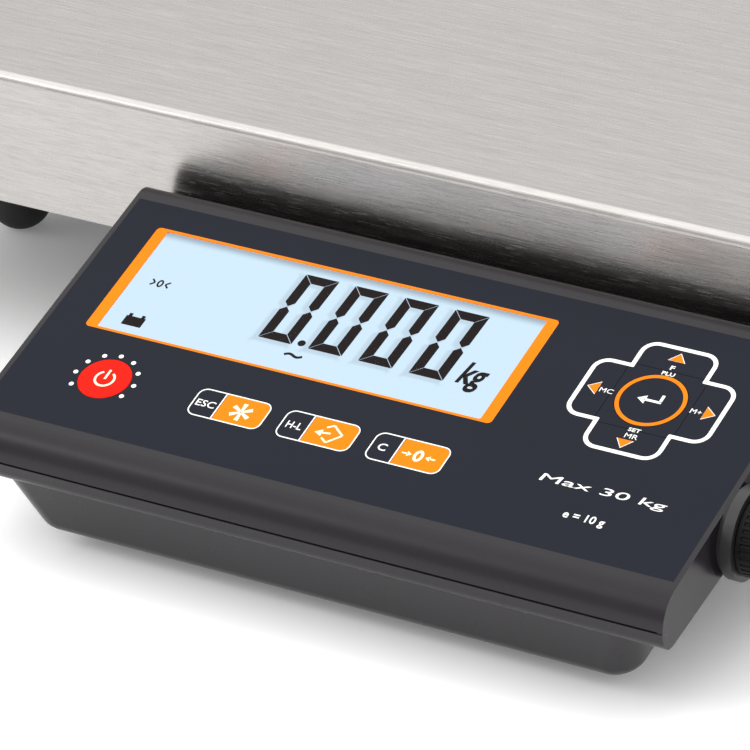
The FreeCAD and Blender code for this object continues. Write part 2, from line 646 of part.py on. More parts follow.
def make_face():
    """Overlay with its cut-outs, the surround of the display, the clear window and the keys."""
    overlay = block(-CASE_HALF, CASE_HALF, OVERLAY_FRONT, OVERLAY_BACK, -OVERLAY_THICK, 0.0)
    cutout = plate(LCD_X, 0, SURROUND_WIDTH, SURROUND_HEIGHT, FACE_CORNER, -OVERLAY_THICK, 0.0)
    overlay = overlay.cut(cutout)
    surround = plate(LCD_X, 0, SURROUND_WIDTH, SURROUND_HEIGHT, FACE_CORNER, -FILM_THICK, 0.0)
    window = plate(LCD_X, 0, WINDOW_WIDTH, WINDOW_HEIGHT, FACE_CORNER / 2, -FILM_THICK, 0.0)
    for cutout in key_plates(KEY_GAP).values():
        overlay = overlay.cut(cutout)
    save("face_overlay", on_face(overlay))
    save("display_surround", on_face(surround.cut(window)))
    save("display_window", on_face(window))
    for name, key in key_plates().items():
        save(name, on_face(key))


def make_keypad():
    """Circuit sheet and one snap dome under the middle of each key."""
    sheet = circuit_outline(0.0, CIRCUIT_TOP - CIRCUIT_THICK, CIRCUIT_TOP)
    save("keypad_circuit", on_face(sheet))
    domes = []
    for key in key_plates().values():
        centre = key.BoundBox.Center
        domes.append(on_face(Part.makeCone(DOME_RADIUS, DOME_RADIUS * 0.5, DOME_HEIGHT,
                                           Vector(centre.x, centre.y, CIRCUIT_TOP))))
    save("snap_domes", *domes)


def make_display():
    """The glass lies right under the window film, with the light guide behind it."""
    glass = plate(LCD_X, 0, GLASS_WIDTH, GLASS_HEIGHT, FACE_CORNER / 2, GLASS_BACK, -FILM_THICK)
    light = plate(LCD_X, 0, LIGHT_WIDTH, GLASS_HEIGHT - 1, FACE_CORNER / 2, LIGHT_BACK, GLASS_BACK)
    save("lcd_glass", on_face(glass))
    save("backlight", on_face(light))


def make_electronics():
    low = BOARD_TOP - BOARD_THICK
    board = block(-BOARD_HALF, BOARD_HALF, BOARD_V[0], BOARD_V[1], low, BOARD_TOP)
    for x, v in BOARD_POSTS:
        board = board.cut(rod(CASE_SCREW_RADIUS, x, v, low - 1, BOARD_TOP + 1))
    save("main_board", on_face(board))
    parts = [
        block(30, 42, -8, 4, BOARD_TOP, BOARD_TOP + 1.4),
        block(46, 54, -26, -20, BOARD_TOP, BOARD_TOP + 1.6),
        block(-20, 30, 14, 19, BOARD_TOP, BOARD_TOP + 2.4),
        block(20, 44, -12, 8, low - 3.2, low),
        block(50, 58, 2, 14, low - 6.0, low),
        block(-62, -50, 8, 18, low - 7.0, low),
    ]
    for x, v in ((4.0, 12.0), (14.0, 12.0), (-44.0, 14.0)):
        parts.append(rod(3.9, x, v, low - 9.5, low))
    save("board_parts", *[on_face(piece) for piece in parts])
    floor = TUB_DEPTH + WALL
    battery = plate(-25, -17, 74, 37, 4.0, floor, floor + 15)
    save("battery_pack", on_face(battery))


def serial_outline(inset, v0, v1):
    """The D-shaped shell of the serial socket, wider at its top edge."""
    half_top = 8.6 - inset
    half_low = 7.6 - inset
    reach = 4.3 - inset
    corners_at = ((-half_top, reach), (half_top, reach), (half_low, -reach), (-half_low, -reach))
    points = [Vector(SERIAL_X + x, v0, SOCKET_N + n) for x, n in corners_at]
    points.append(points[0])
    body = Part.Face(Part.makePolygon(points)).extrude(Vector(0, v1 - v0, 0))
    return body.makeFillet(1.6 - inset / 2, edges_along(body, Vector(0, 1, 0)))


def make_sockets():
    """Serial socket with its jack screws, power inlet and cable glands."""
    half_width = SERIAL_FLANGE_WIDTH / 2
    half_height = SERIAL_FLANGE_HEIGHT / 2
    flange = block(SERIAL_X - half_width, SERIAL_X + half_width, SOCKET_V, SOCKET_V + 1.0,
                   SOCKET_N - half_height, SOCKET_N + half_height)
    shell = flange.fuse(serial_outline(0.0, SOCKET_V - 6, SOCKET_V + 5.5))
    shell = shell.cut(serial_outline(0.6, SOCKET_V - 5, SOCKET_V + 6))
    insulator = serial_outline(0.6, SOCKET_V - 5, SOCKET_V + 4.8)
    for row, count, height in ((0, 5, 1.4), (1, 4, -1.4)):
        for step in range(count):
            x = SERIAL_X + (step - (count - 1) / 2) * 2.76
            insulator = insulator.cut(rod_y(0.6, x, SOCKET_V - 1, SOCKET_V + 6, SOCKET_N + height))
    locks = []
    for side in (-1, 1):
        x = SERIAL_X + side * SERIAL_LOCK_SPACING / 2
        shell = shell.cut(rod_y(SERIAL_LOCK_RADIUS + 0.1, x, SOCKET_V - 1, SOCKET_V + 2, SOCKET_N))
        nut = hexagon(5.0, 0, 0, 0, 5.0)
        nut = nut.cut(rod(SERIAL_LOCK_RADIUS, 0, 0, -1, 6))
        nut.rotate(Vector(0, 0, 0), Vector(1, 0, 0), -90)
        nut.translate(Vector(x, SOCKET_V + 1.0, SOCKET_N))
        locks.append(on_face(nut))
    save("serial_shell", on_face(shell.removeSplitter()))
    save("serial_insulator", on_face(insulator))
    save("serial_jack_nuts", *locks)
    inlet = rod_y(INLET_RADIUS, POWER_INLET_X, SOCKET_V - 9, SOCKET_V, SOCKET_N)
    inlet = inlet.fuse(rod_y(INLET_RADIUS + 1.6, POWER_INLET_X, SOCKET_V, SOCKET_V + 1.2, SOCKET_N))
    inlet = inlet.cut(rod_y(2.75, POWER_INLET_X, SOCKET_V - 8, SOCKET_V + 2, SOCKET_N))
    inlet = inlet.fuse(rod_y(1.0, POWER_INLET_X, SOCKET_V - 8.5, SOCKET_V + 0.5, SOCKET_N))
    save("power_inlet", on_face(inlet.removeSplitter()))
    save("case_gland", on_face(gland(CASE_GLAND_X, SOCKET_V - 4.6, SOCKET_N)))
    face_y = FOOT_FRONT_Y - CHANNEL_WIDTH / 2
    inward = gland(GLAND_X, face_y, BASE_BOTTOM + 9)
    inward.rotate(Vector(GLAND_X, face_y, BASE_BOTTOM + 9), Vector(0, 0, 1), 180)
    save("frame_gland", inward)


def gland(x, y, z):
    """A cable gland whose body fills its hole from y and whose nut stands out behind the wall."""
    body = rod_y(GLAND_RADIUS, x, y - 4, y + 5.5, z)
    flange = rod_y(GLAND_RADIUS + 2.2, x, y + 4.6, y + 6.4, z)
    dome = Part.makeCone(GLAND_RADIUS + 0.8, GLAND_RADIUS - 1.6, 5.0, Vector(x, y + 6.4, z), Vector(0, 1, 0))
    bore = rod_y(GLAND_BORE, x, y - 5, y + 12, z)
    return body.multiFuse([flange, dome]).cut(bore).removeSplitter()


def make_bracket():
    """U bracket: two ears on the tilt axis, two arms under the skirt, a back on the base frame."""
    pivot = face_point(0, PIVOT_V, parting(PIVOT_V))
    inner = CASE_HALF + CHEEK + WASHER + EAR_GAP
    outer = inner + EAR_THICK
    left_inner = CASE_HALF + CHEEK + EAR_GAP
    left_outer = left_inner + LEFT_EAR_THICK
    back = BRACKET_BACK - EAR_THICK
    strap = block(-left_outer, outer, pivot.y, BRACKET_BACK, ARM_LOW, ARM_HIGH)
    strap = strap.makeFillet(8.0, [edge for edge in edges_along(strap, Vector(0, 0, 1))
                                   if edge.BoundBox.Center.y > 0])
    hollow = block(-left_inner, inner, pivot.y - 1, back, ARM_LOW - 1, ARM_HIGH + 1)
    hollow = hollow.makeFillet(8.0 - EAR_THICK, [edge for edge in edges_along(hollow, Vector(0, 0, 1))
                                                 if edge.BoundBox.Center.y > 0])
    bracket = strap.cut(hollow)
    tongue = block(-outer + 20, outer - 20, back, BRACKET_BACK, BASE_BOTTOM + 4, ARM_HIGH)
    tongue = tongue.makeFillet(5.0, [edge for edge in edges_along(tongue, Vector(0, 1, 0))
                                     if edge.BoundBox.Center.z < ARM_LOW])
    bracket = bracket.fuse(tongue)
    for radius, start, end in ((LEFT_EAR_RADIUS, -left_outer, -left_inner), (EAR_RADIUS, inner, outer)):
        bracket = bracket.fuse(rod_x(radius, start, end, pivot.y, pivot.z))
        bracket = bracket.cut(rod_x(KNOB_STUD + RUNNING_GAP, start - 1, end + 1, pivot.y, pivot.z))
    screws = []
    for x in BRACKET_SCREW_X:
        bracket = bracket.cut(rod_y(2.5, x, back - 1, BRACKET_BACK + 1, BRACKET_SCREW_Z))
        head = rod_y(4.6, x, back - 2.6, back, BRACKET_SCREW_Z)
        head = head.makeFillet(1.0, [edge for edge in head.Edges
                                     if edge.Closed and edge.BoundBox.YMax < back - 2])
        slot = block(x - 3, x + 3, back - 3, back - 1.5, BRACKET_SCREW_Z - 0.5, BRACKET_SCREW_Z + 0.5)
        head = head.cut(slot)
        screws.append(head.fuse(rod_y(2.5, x, back, BRACKET_BACK + 8, BRACKET_SCREW_Z)).removeSplitter())
    bracket = bracket.cut(rod_y(GLAND_RADIUS + 3, GLAND_X, back - 1, BRACKET_BACK + 1, BASE_BOTTOM + 9))
    save("tilt_bracket", bracket.removeSplitter())
    save("bracket_screws", *screws)


def knob_outline(x0, length):
    """A knurled cylinder: shallow round grooves all round it, cut along the axis."""
    body = rod_x(KNOB_RADIUS, x0, x0 + length, 0, 0)
    grooves = []
    for step in range(KNOB_RIBS):
        angle = 2 * math.pi * step / KNOB_RIBS
        grooves.append(rod_x(0.55, x0 + 1.2, x0 + length - 1.0, (KNOB_RADIUS + 0.15) * math.cos(angle),
                             (KNOB_RADIUS + 0.15) * math.sin(angle)))
    return body.cut(Part.makeCompound(grooves))


def make_pivots():
    """Tilt axis: at the right an insert, washer, brass stud and clamping knob; at the left a plain pin."""
    washer_start = CASE_HALF + CHEEK
    insert_start = washer_start - INSERT_LENGTH
    knob_start = washer_start + WASHER + EAR_GAP + EAR_THICK + EAR_GAP
    knob_end = knob_start + KNOB_LENGTH
    insert = rod_x(INSERT_RADIUS, insert_start, washer_start, 0, 0)
    right_insert = insert.cut(rod_x(KNOB_STUD + RUNNING_GAP, insert_start - 1, washer_start + 1, 0, 0))
    left_insert = insert.cut(rod_x(KNOB_STUD, insert_start + 1, washer_start + 1, 0, 0))
    washer = rod_x(WASHER_RADIUS, washer_start, washer_start + WASHER, 0, 0)
    washer = washer.cut(rod_x(KNOB_STUD + 0.5, washer_start - 1, washer_start + WASHER + 1, 0, 0))
    stud = rod_x(KNOB_STUD, insert_start + 1, knob_end - 1.6, 0, 0)
    stud = stud.cut(rod_x(KEY_SOCKET, knob_end - 3.6, knob_end, 0, 0))
    knob = knob_outline(knob_start, KNOB_LENGTH)
    knob = knob.cut(rod_x(KNOB_STUD + 3.2, knob_end - 2.4, knob_end + 1, 0, 0))
    knob = knob.cut(rod_x(KNOB_STUD, knob_start - 1, knob_end, 0, 0))
    pin = rod_x(KNOB_STUD, insert_start + 1, washer_start + EAR_GAP + LEFT_EAR_THICK, 0, 0)
    groups = {
        "tilt_knob": [knob],
        "tilt_stud": [stud],
        "friction_washer": [washer],
        "pivot_pin": [mirrored(pin)],
        "stud_inserts": [right_insert, mirrored(left_insert)],
    }
    for node, solids in groups.items():
        for solid in solids:
            solid.translate(Vector(0, PIVOT_V, parting(PIVOT_V)))
        save(node, *[on_face(solid) for solid in solids])


make_pan()
make_base()
make_stops()
make_feet()
make_upper_frame()
make_load_cell()
make_level()
make_top_case()
make_bottom_case()
make_case_trim()
make_face()
make_keypad()
make_display()
make_electronics()
make_sockets()
make_bracket()
make_pivots()
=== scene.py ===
"""Looks for a bench platform scale: brushed pan, moulded indicator, printed face, lit display, light."""

import json
import logging
import math
from dataclasses import dataclass, field
from enum import Enum
from typing import Callable, Dict, List, Mapping, Optional, Sequence, Tuple, Union

import bpy
import numpy as np
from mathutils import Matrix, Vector


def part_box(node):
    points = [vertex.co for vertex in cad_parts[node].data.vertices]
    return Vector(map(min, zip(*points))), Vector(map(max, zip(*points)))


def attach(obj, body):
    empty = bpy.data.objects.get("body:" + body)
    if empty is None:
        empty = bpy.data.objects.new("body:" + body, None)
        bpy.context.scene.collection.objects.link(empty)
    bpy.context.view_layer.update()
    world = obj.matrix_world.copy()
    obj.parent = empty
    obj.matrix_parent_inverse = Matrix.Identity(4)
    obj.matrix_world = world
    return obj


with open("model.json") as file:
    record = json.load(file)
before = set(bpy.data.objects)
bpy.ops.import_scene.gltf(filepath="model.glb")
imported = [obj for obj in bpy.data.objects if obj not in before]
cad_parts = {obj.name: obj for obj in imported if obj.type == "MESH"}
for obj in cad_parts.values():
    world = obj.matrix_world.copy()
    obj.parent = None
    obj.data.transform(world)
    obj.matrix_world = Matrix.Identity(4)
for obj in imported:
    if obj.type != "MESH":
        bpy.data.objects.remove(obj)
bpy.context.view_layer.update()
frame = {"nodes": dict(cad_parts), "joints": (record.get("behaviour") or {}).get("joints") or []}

LOG = logging.getLogger("scale_looks")
MILLIMETRE = 0.001
CORNERS = ("front_left", "front_right", "back_left", "back_right")
Colour = Tuple[float, float, float]
Number = Union[float, "Signal"]
Outline = np.ndarray


# Shader graphs as expressions
class Signal:
    """A shader socket that takes part in Python expressions; each operation adds a Math node."""

    def __init__(self, graph: "Graph", socket: bpy.types.NodeSocket) -> None:
        """Wrap one output socket of a graph.

        Args:
            graph: the graph that the socket belongs to.
            socket: an output socket that carries a number.
        """
        self.graph = graph
        self.socket = socket

    def _math(self, operation: str, first: Number, second: Number = 0.0, clamp: bool = False) -> "Signal":
        """Add one Math node.

        Args:
            operation: the Math node's operation.
            first: its first input.
            second: its second input.
            clamp: whether the result is kept from 0 to 1.

        Returns:
            The node's result.
        """
        node = self.graph.add("ShaderNodeMath", {"operation": operation, "use_clamp": clamp},
                              {0: first, 1: second})
        return Signal(self.graph, node.outputs[0])

    def __add__(self, other: Number) -> "Signal":
        """Self plus other."""
        return self._math("ADD", self, other)

    def __radd__(self, other: Number) -> "Signal":
        """Other plus self."""
        return self._math("ADD", other, self)

    def __mul__(self, other: Number) -> "Signal":
        """Self times other."""
        return self._math("MULTIPLY", self, other)

    def __rmul__(self, other: Number) -> "Signal":
        """Other times self."""
        return self._math("MULTIPLY", other, self)

    def above(self, edge: float) -> "Signal":
        """One where self is above an edge, else zero."""
        return self._math("GREATER_THAN", self, edge)

    def size(self) -> "Signal":
        """Self without its sign."""
        return self._math("ABSOLUTE", self)

    def clamped(self) -> "Signal":
        """Self kept from 0 to 1."""
        return self._math("ADD", self, 0.0, clamp=True)


class Graph:
    """One material's node tree, with one way to add a node and one Principled shader at its end."""

    def __init__(self, name: str) -> None:
        """Start an empty tree.

        Args:
            name: the material's name.
        """
        self.material = bpy.data.materials.new(name)
        self.material.use_nodes = True
        self.tree = self.material.node_tree
        self.tree.nodes.clear()
        self.output = self.tree.nodes.new("ShaderNodeOutputMaterial")
        self.shader = self.tree.nodes.new("ShaderNodeBsdfPrincipled")
        self.tree.links.new(self.shader.outputs[0], self.output.inputs[0])

    def put(self, node: bpy.types.Node, key: Union[int, str], value: object) -> None:
        """Give one input socket a value or a link.

        Args:
            node: the node.
            key: the socket's name or number.
            value: a number, a tuple, a Signal or an output socket.
        """
        socket = node.inputs[key]
        if isinstance(value, Signal):
            self.tree.links.new(value.socket, socket)
        elif isinstance(value, bpy.types.NodeSocket):
            self.tree.links.new(value, socket)
        elif isinstance(value, tuple) and len(value) == 3 and socket.type == "RGBA":
            socket.default_value = (*value, 1.0)
        else:
            socket.default_value = value

    def add(self, kind: str, settings: Optional[Mapping[str, object]] = None,
            inputs: Optional[Mapping[Union[int, str], object]] = None) -> bpy.types.Node:
        """Add any node.

        Args:
            kind: the node's type.
            settings: its properties, set first.
            inputs: values or links for its sockets.

        Returns:
            The new node.
        """
        node = self.tree.nodes.new(kind)
        for name, value in (settings or {}).items():
            setattr(node, name, value)
        for key, value in (inputs or {}).items():
            self.put(node, key, value)
        return node

    def dress(self, **inputs: object) -> None:
        """Set the Principled shader's sockets; underscores in a name stand for spaces."""
        for name, value in inputs.items():
            self.put(self.shader, name.replace("_", " "), value)

    def place(self) -> bpy.types.NodeSocket:
        """The object coordinates, in metres."""
        return self.add("ShaderNodeTexCoord").outputs["Object"]

    def stretched(self, vector: bpy.types.NodeSocket, factors: Colour) -> bpy.types.NodeSocket:
        """A vector times three factors, one for each axis."""
        node = self.add("ShaderNodeVectorMath", {"operation": "MULTIPLY"}, {0: vector, 1: factors})
        return node.outputs[0]

    def noise(self, vector: bpy.types.NodeSocket, scale: float, detail: float = 2.0) -> Signal:
        """A noise pattern from 0 to 1, a number of waves per metre fine."""
        node = self.add("ShaderNodeTexNoise", None, {"Vector": vector, "Scale": scale, "Detail": detail})
        return Signal(self, node.outputs["Fac"])

    def blended(self, mask: Number, low: object, high: object) -> bpy.types.NodeSocket:
        """A colour between two colours, by a mask from 0 to 1."""
        node = self.add("ShaderNodeMix", {"data_type": "RGBA"}, {0: mask, 6: low, 7: high})
        return node.outputs[2]

    def bumped(self, height: Signal, depth: float, strength: float = 1.0) -> bpy.types.NodeSocket:
        """A normal from a height pattern that is a depth in metres high."""
        node = self.add("ShaderNodeBump", None, {"Strength": strength, "Distance": depth, "Height": height})
        return node.outputs[0]


# Finishes
@dataclass(frozen=True)
class Finish:
    """What every finish has: a name and a colour, and a material made once."""

    name: str
    colour: Colour

    def build(self, graph: Graph) -> None:
        """Fill the graph; each finish has its own way."""
        raise NotImplementedError

    def material(self) -> bpy.types.Material:
        """The finish's material, made on first use."""
        found = bpy.data.materials.get(self.name)
        if found is None:
            graph = Graph(self.name)
            self.build(graph)
            found = graph.material
        return found


@dataclass(frozen=True)
class Moulded(Finish):
    """Moulded plastic or rubber: a fine spark-eroded grain and patches a little shinier than others."""

    roughness: float = 0.42
    grain: float = 2600.0
    depth: float = 0.00002
    specular: float = 0.5
    variation: float = 0.12

    def build(self, graph: Graph) -> None:
        """Grain in the normal, slow patches in roughness and colour."""
        place = graph.place()
        patches = graph.noise(place, 38.0, 3.0)
        grain = graph.noise(place, self.grain, 2.0)
        dark = tuple(channel * (1 - self.variation) for channel in self.colour)
        light = tuple(channel * (1 + self.variation) for channel in self.colour)
        graph.dress(Base_Color=graph.blended(patches, dark, light),
                    Roughness=(self.roughness - 0.05) + 0.1 * patches,
                    Normal=graph.bumped(grain, self.depth),
                    Specular_IOR_Level=self.specular)


@dataclass(frozen=True)
class Brushed(Finish):
    """Brushed sheet metal: short streaks along X on the flat, turned down with each side skirt; faces that
    are not level get a painted shade.
    """

    roughness: float = 0.26
    depth: float = 0.000018
    # painted shade: faces that are not level, such as each side skirt, have their colour multiplied by this
    painted_skirt_shade: float = 0.74

    def build(self, graph: Graph) -> None:
        """Streaks are noise squeezed across the brushing direction; side faces swap X for Z. Faces that are
        not level are darkened, a painted shade.
        """
        place = graph.place()
        parts = graph.add("ShaderNodeSeparateXYZ", None, {0: place})
        normal = graph.add("ShaderNodeNewGeometry").outputs["True Normal"]
        facing = graph.add("ShaderNodeSeparateXYZ", None, {0: normal})
        sideways = Signal(graph, facing.outputs[0]).size().above(0.7)
        turned = graph.add("ShaderNodeCombineXYZ", None, {0: parts.outputs[2], 1: parts.outputs[1], 2: 0.0})
        chosen = graph.add("ShaderNodeMix", {"data_type": "VECTOR"},
                           {0: sideways, 4: place, 5: turned.outputs[0]}).outputs[1]
        fine = graph.noise(graph.stretched(chosen, (150.0, 2800.0, 2800.0)), 1.0, 3.0)
        broad = graph.noise(graph.stretched(chosen, (40.0, 900.0, 900.0)), 1.0, 3.0)
        hairs = graph.noise(graph.stretched(chosen, (90.0, 5200.0, 5200.0)), 1.0, 1.0).above(0.68)
        cloud = graph.noise(place, 6.0, 2.0)
        dark = tuple(channel * 0.62 for channel in self.colour)
        light = tuple(channel * 1.2 for channel in self.colour)
        # Painted shade: faces that are not level get a darker base colour than the flat top; it is multiplied
        # into the streak grain below.
        level = Signal(graph, facing.outputs[2]).size().above(0.7)
        skirt_shade_factor = graph.blended(level, (self.painted_skirt_shade,) * 3, (1.0, 1.0, 1.0))
        tone = (0.55 * fine + 0.35 * broad + 0.1 * cloud).clamped()
        shine = graph.add("ShaderNodeMix", {"data_type": "RGBA", "blend_type": "MULTIPLY"},
                          {0: 1.0, 6: graph.blended(tone, dark, light), 7: skirt_shade_factor})
        graph.dress(Base_Color=shine.outputs[2],
                    Metallic=1.0,
                    Roughness=(self.roughness - 0.06) + 0.14 * broad + 0.05 * hairs,
                    Normal=graph.bumped(fine + 0.6 * broad + 0.5 * hairs, self.depth))


@dataclass(frozen=True)
class Metal(Finish):
    """Turned, plated or machined metal: mottled roughness and faint tool lines."""

    roughness: float = 0.3
    scale: float = 900.0
    depth: float = 0.000006

    def build(self, graph: Graph) -> None:
        """Fine noise dulls and dents the surface a little."""
        place = graph.place()
        fine = graph.noise(place, self.scale, 3.0)
        blotch = graph.noise(place, 60.0, 2.0)
        dark = tuple(channel * 0.75 for channel in self.colour)
        graph.dress(Base_Color=graph.blended(blotch, dark, self.colour), Metallic=1.0,
                    Roughness=(self.roughness - 0.08) + 0.16 * fine,
                    Normal=graph.bumped(fine, self.depth))


@dataclass(frozen=True)
class PowderCoat(Finish):
    """Powder paint on steel: an orange-peel skin with a soft gloss."""

    roughness: float = 0.4

    def build(self, graph: Graph) -> None:
        """Orange peel in the normal, slight speckle in the colour."""
        place = graph.place()
        peel = graph.noise(place, 700.0, 2.0)
        speck = graph.noise(place, 4000.0, 1.0)
        light = tuple(channel * 1.35 for channel in self.colour)
        graph.dress(Base_Color=graph.blended(speck, self.colour, light),
                    Roughness=(self.roughness - 0.05) + 0.1 * peel,
                    Normal=graph.bumped(peel, 0.00004))


@dataclass(frozen=True)
class PrintedFilm(Finish):
    """Back-printed polyester film: a satin skin with a very fine texture over an even ink."""

    roughness: float = 0.36
    specular: float = 0.4

    def build(self, graph: Graph) -> None:
        """The ink is nearly even; the film's texture is a shallow, fine noise."""
        place = graph.place()
        weave = graph.noise(place, 5200.0, 1.0)
        drift = graph.noise(place, 22.0, 2.0)
        low = tuple(channel * 0.94 for channel in self.colour)
        high = tuple(min(1.0, channel * 1.06) for channel in self.colour)
        graph.dress(Base_Color=graph.blended(drift, low, high),
                    Roughness=(self.roughness - 0.03) + 0.06 * weave,
                    Normal=graph.bumped(weave, 0.000004),
                    Specular_IOR_Level=self.specular)


@dataclass(frozen=True)
class ClearFilm(Finish):
    """Clear hard-coated film or tinted fluid: seen through, with a thin gloss."""

    alpha: float = 0.06
    roughness: float = 0.12

    def build(self, graph: Graph) -> None:
        """Mostly clear, and a little less so where dust has settled."""
        dust = graph.noise(graph.place(), 120.0, 4.0)
        graph.dress(Base_Color=self.colour, Roughness=self.roughness + 0.1 * dust,
                    Alpha=0.8 * self.alpha + 0.4 * self.alpha * dust, Specular_IOR_Level=0.2)


@dataclass(frozen=True)
class LitPanel(Finish):
    """The display's lit ground: a pale glow, darker where the shade attribute says."""

    shade: Colour = (0.1, 0.12, 0.15)
    strength: float = 0.82

    def build(self, graph: Graph) -> None:
        """The glow is the colour blended towards the shade colour by the mesh's own attribute."""
        shade = graph.add("ShaderNodeAttribute", {"attribute_name": "shade"}).outputs["Fac"]
        glow = graph.blended(Signal(graph, shade), self.colour, self.shade)
        graph.dress(Base_Color=(0.02, 0.025, 0.03), Roughness=0.5, Specular_IOR_Level=0.2,
                    Emission_Color=glow, Emission_Strength=self.strength)


@dataclass(frozen=True)
class Circuit(Finish):
    """Glass-fibre board or printed sheet: tracks run in steps under the lacquer."""

    tracks: Colour = (0.06, 0.3, 0.12)

    def build(self, graph: Graph) -> None:
        """Square cells of a voronoi pattern stand for copper areas."""
        cells = graph.add("ShaderNodeTexVoronoi", {"distance": "CHEBYCHEV"},
                          {"Vector": graph.place(), "Scale": 420.0})
        mask = Signal(graph, cells.outputs["Distance"]).above(0.42)
        graph.dress(Base_Color=graph.blended(mask, self.colour, self.tracks), Roughness=0.3,
                    Normal=graph.bumped(mask, 0.00002))


class Finishes(Enum):
    """Every finish of the scale."""

    PAN_STEEL = Brushed("pan_steel", (0.585, 0.56, 0.54))
    CASE_PLASTIC = Moulded("case_moulding", (0.0105, 0.0085, 0.0108), roughness=0.27, specular=0.3,
                           depth=0.000008)
    KNOB_PLASTIC = Moulded("knob_plastic", (0.006, 0.0055, 0.006), roughness=0.34, specular=0.12)
    DARK_PLASTIC = Moulded("dark_plastic", (0.012, 0.012, 0.013), roughness=0.45)
    RUBBER = Moulded("foot_rubber", (0.012, 0.0118, 0.0115), roughness=0.72, grain=1500.0, depth=0.00005)
    OVERLAY = PrintedFilm("overlay_film", (0.0125, 0.0148, 0.0222), specular=0.06)
    ORANGE = PrintedFilm("orange_ink", (0.89, 0.208, 0.0025), specular=0.06)
    RED = PrintedFilm("red_ink", (0.74, 0.0095, 0.002), specular=0.06)
    WHITE = PrintedFilm("white_ink", (0.9, 0.9, 0.88), specular=0.15)
    CREAM = PrintedFilm("cream_ink", (0.95, 0.86, 0.62), specular=0.15)
    FRAME_PAINT = PowderCoat("frame_powder_coat", (0.03, 0.032, 0.035))
    BRACKET_PAINT = PowderCoat("bracket_paint", (0.012, 0.012, 0.013))
    ZINC = Metal("zinc_plate", (0.62, 0.62, 0.6), roughness=0.34)
    ALUMINIUM = Metal("cell_aluminium", (0.78, 0.79, 0.8), roughness=0.28)
    BRASS = Metal("turned_brass", (0.62, 0.33, 0.14), roughness=0.24)
    WINDOW = ClearFilm("window_film", (0.9, 0.95, 1.0), alpha=0.005)
    FLUID = ClearFilm("level_fluid", (0.55, 0.8, 0.12), alpha=0.6)
    GLOW = LitPanel("display_glow", (0.625, 0.81, 0.95), strength=0.97)
    SEGMENT = PrintedFilm("segment_black", (0.009, 0.005, 0.005), roughness=0.6, specular=0.04)
    GUIDE = Moulded("light_guide", (0.8, 0.85, 0.9), roughness=0.3)
    BOARD = Circuit("main_board_lacquer", (0.02, 0.14, 0.05))
    SHEET = Circuit("keypad_sheet", (0.35, 0.34, 0.3), tracks=(0.55, 0.55, 0.53))
    SLEEVE = Moulded("battery_sleeve", (0.02, 0.06, 0.22), roughness=0.25)

    def put_on(self, thing: bpy.types.Object) -> None:
        """Make this finish the object's only material."""
        thing.data.materials.clear()
        thing.data.materials.append(self.value.material())


# Outlines on the face, in millimetres
def arc_points(centre: Sequence[float], radius: float, start: float, end: float, count: int) -> Outline:
    """Points of an arc: the centre plus the radius times the cosine and sine of evenly spaced angles.

    Args:
        centre: the arc's centre.
        radius: its radius.
        start: first angle, in degrees.
        end: last angle, in degrees.
        count: how many points.

    Returns:
        An array of points, one a row.
    """
    angles = np.radians(np.linspace(start, end, count))
    return np.c_[centre[0] + radius * np.cos(angles), centre[1] + radius * np.sin(angles)]


def inset(corners: Outline, distance: float) -> Outline:
    """Move every side of a closed outline inwards.

    Each corner moves along both neighbouring sides' inward normals, so that each side shifts by the distance.

    Args:
        corners: the outline, anticlockwise.
        distance: how far, in millimetres.

    Returns:
        The new corners, as many as before.
    """
    before = corners - np.roll(corners, 1, axis=0)
    after = np.roll(corners, -1, axis=0) - corners
    before = before / np.linalg.norm(before, axis=1, keepdims=True)
    after = after / np.linalg.norm(after, axis=1, keepdims=True)
    inward_before = np.c_[-before[:, 1], before[:, 0]]
    inward_after = np.c_[-after[:, 1], after[:, 0]]
    bisector = inward_before + inward_after
    scale = distance / (1 + (inward_before * inward_after).sum(1))
    return corners + bisector * scale[:, None]


def rounded(corners: Outline, radii: Sequence[float], steps: int = 8) -> Outline:
    """Round the corners of an outline, each with its own radius.

    An arc of the radius touches both sides; its points run from one touching point to the other.

    Args:
        corners: the outline's corners.
        radii: one radius a corner.
        steps: points on each arc.

    Returns:
        The rounded outline, with steps points for every corner.
    """
    rows: List[Outline] = []
    count = len(corners)
    for index in range(count):
        here = corners[index]
        back = corners[index - 1] - here
        ahead = corners[(index + 1) % count] - here
        back = back / np.linalg.norm(back)
        ahead = ahead / np.linalg.norm(ahead)
        half = math.acos(float(np.clip(back @ ahead, -1, 1))) / 2
        reach = radii[index] / math.tan(half)
        middle = (back + ahead) / np.linalg.norm(back + ahead)
        centre = here + middle * (radii[index] / math.sin(half))
        first = here + back * reach - centre
        last = here + ahead * reach - centre
        share = np.linspace(0, 1, steps)[:, None]
        sweep = math.pi - 2 * half
        if radii[index] <= 0:
            rows.append(np.repeat(here[None, :], steps, axis=0))
            continue
        weights = (np.sin((1 - share) * sweep), np.sin(share * sweep))
        rows.append(centre + (first * weights[0] + last * weights[1]) / math.sin(sweep))
    return np.vstack(rows)


def box_corners(centre: Sequence[float], width: float, height: float) -> Outline:
    """The four corners of a rectangle, anticlockwise from the lower left."""
    u, v = centre
    return np.array([[u - width / 2, v - height / 2], [u + width / 2, v - height / 2],
                     [u + width / 2, v + height / 2], [u - width / 2, v + height / 2]])


def thick_line(start: Sequence[float], end: Sequence[float], width: float) -> Outline:
    """A straight stroke of a width, as a rectangle turned along it."""
    a, b = np.array(start, float), np.array(end, float)
    along = (b - a) / np.linalg.norm(b - a)
    side = np.array([-along[1], along[0]]) * width / 2
    return np.array([a - side, b - side, b + side, a + side])


# The face, and meshes laid on it
def node_points(node: str) -> np.ndarray:
    """A CAD node's vertices, one a row, in metres."""
    mesh = frame["nodes"][node].data
    flat = np.empty(len(mesh.vertices) * 3, np.float32)
    mesh.vertices.foreach_get("co", flat)
    return flat.reshape(-1, 3).astype(float)


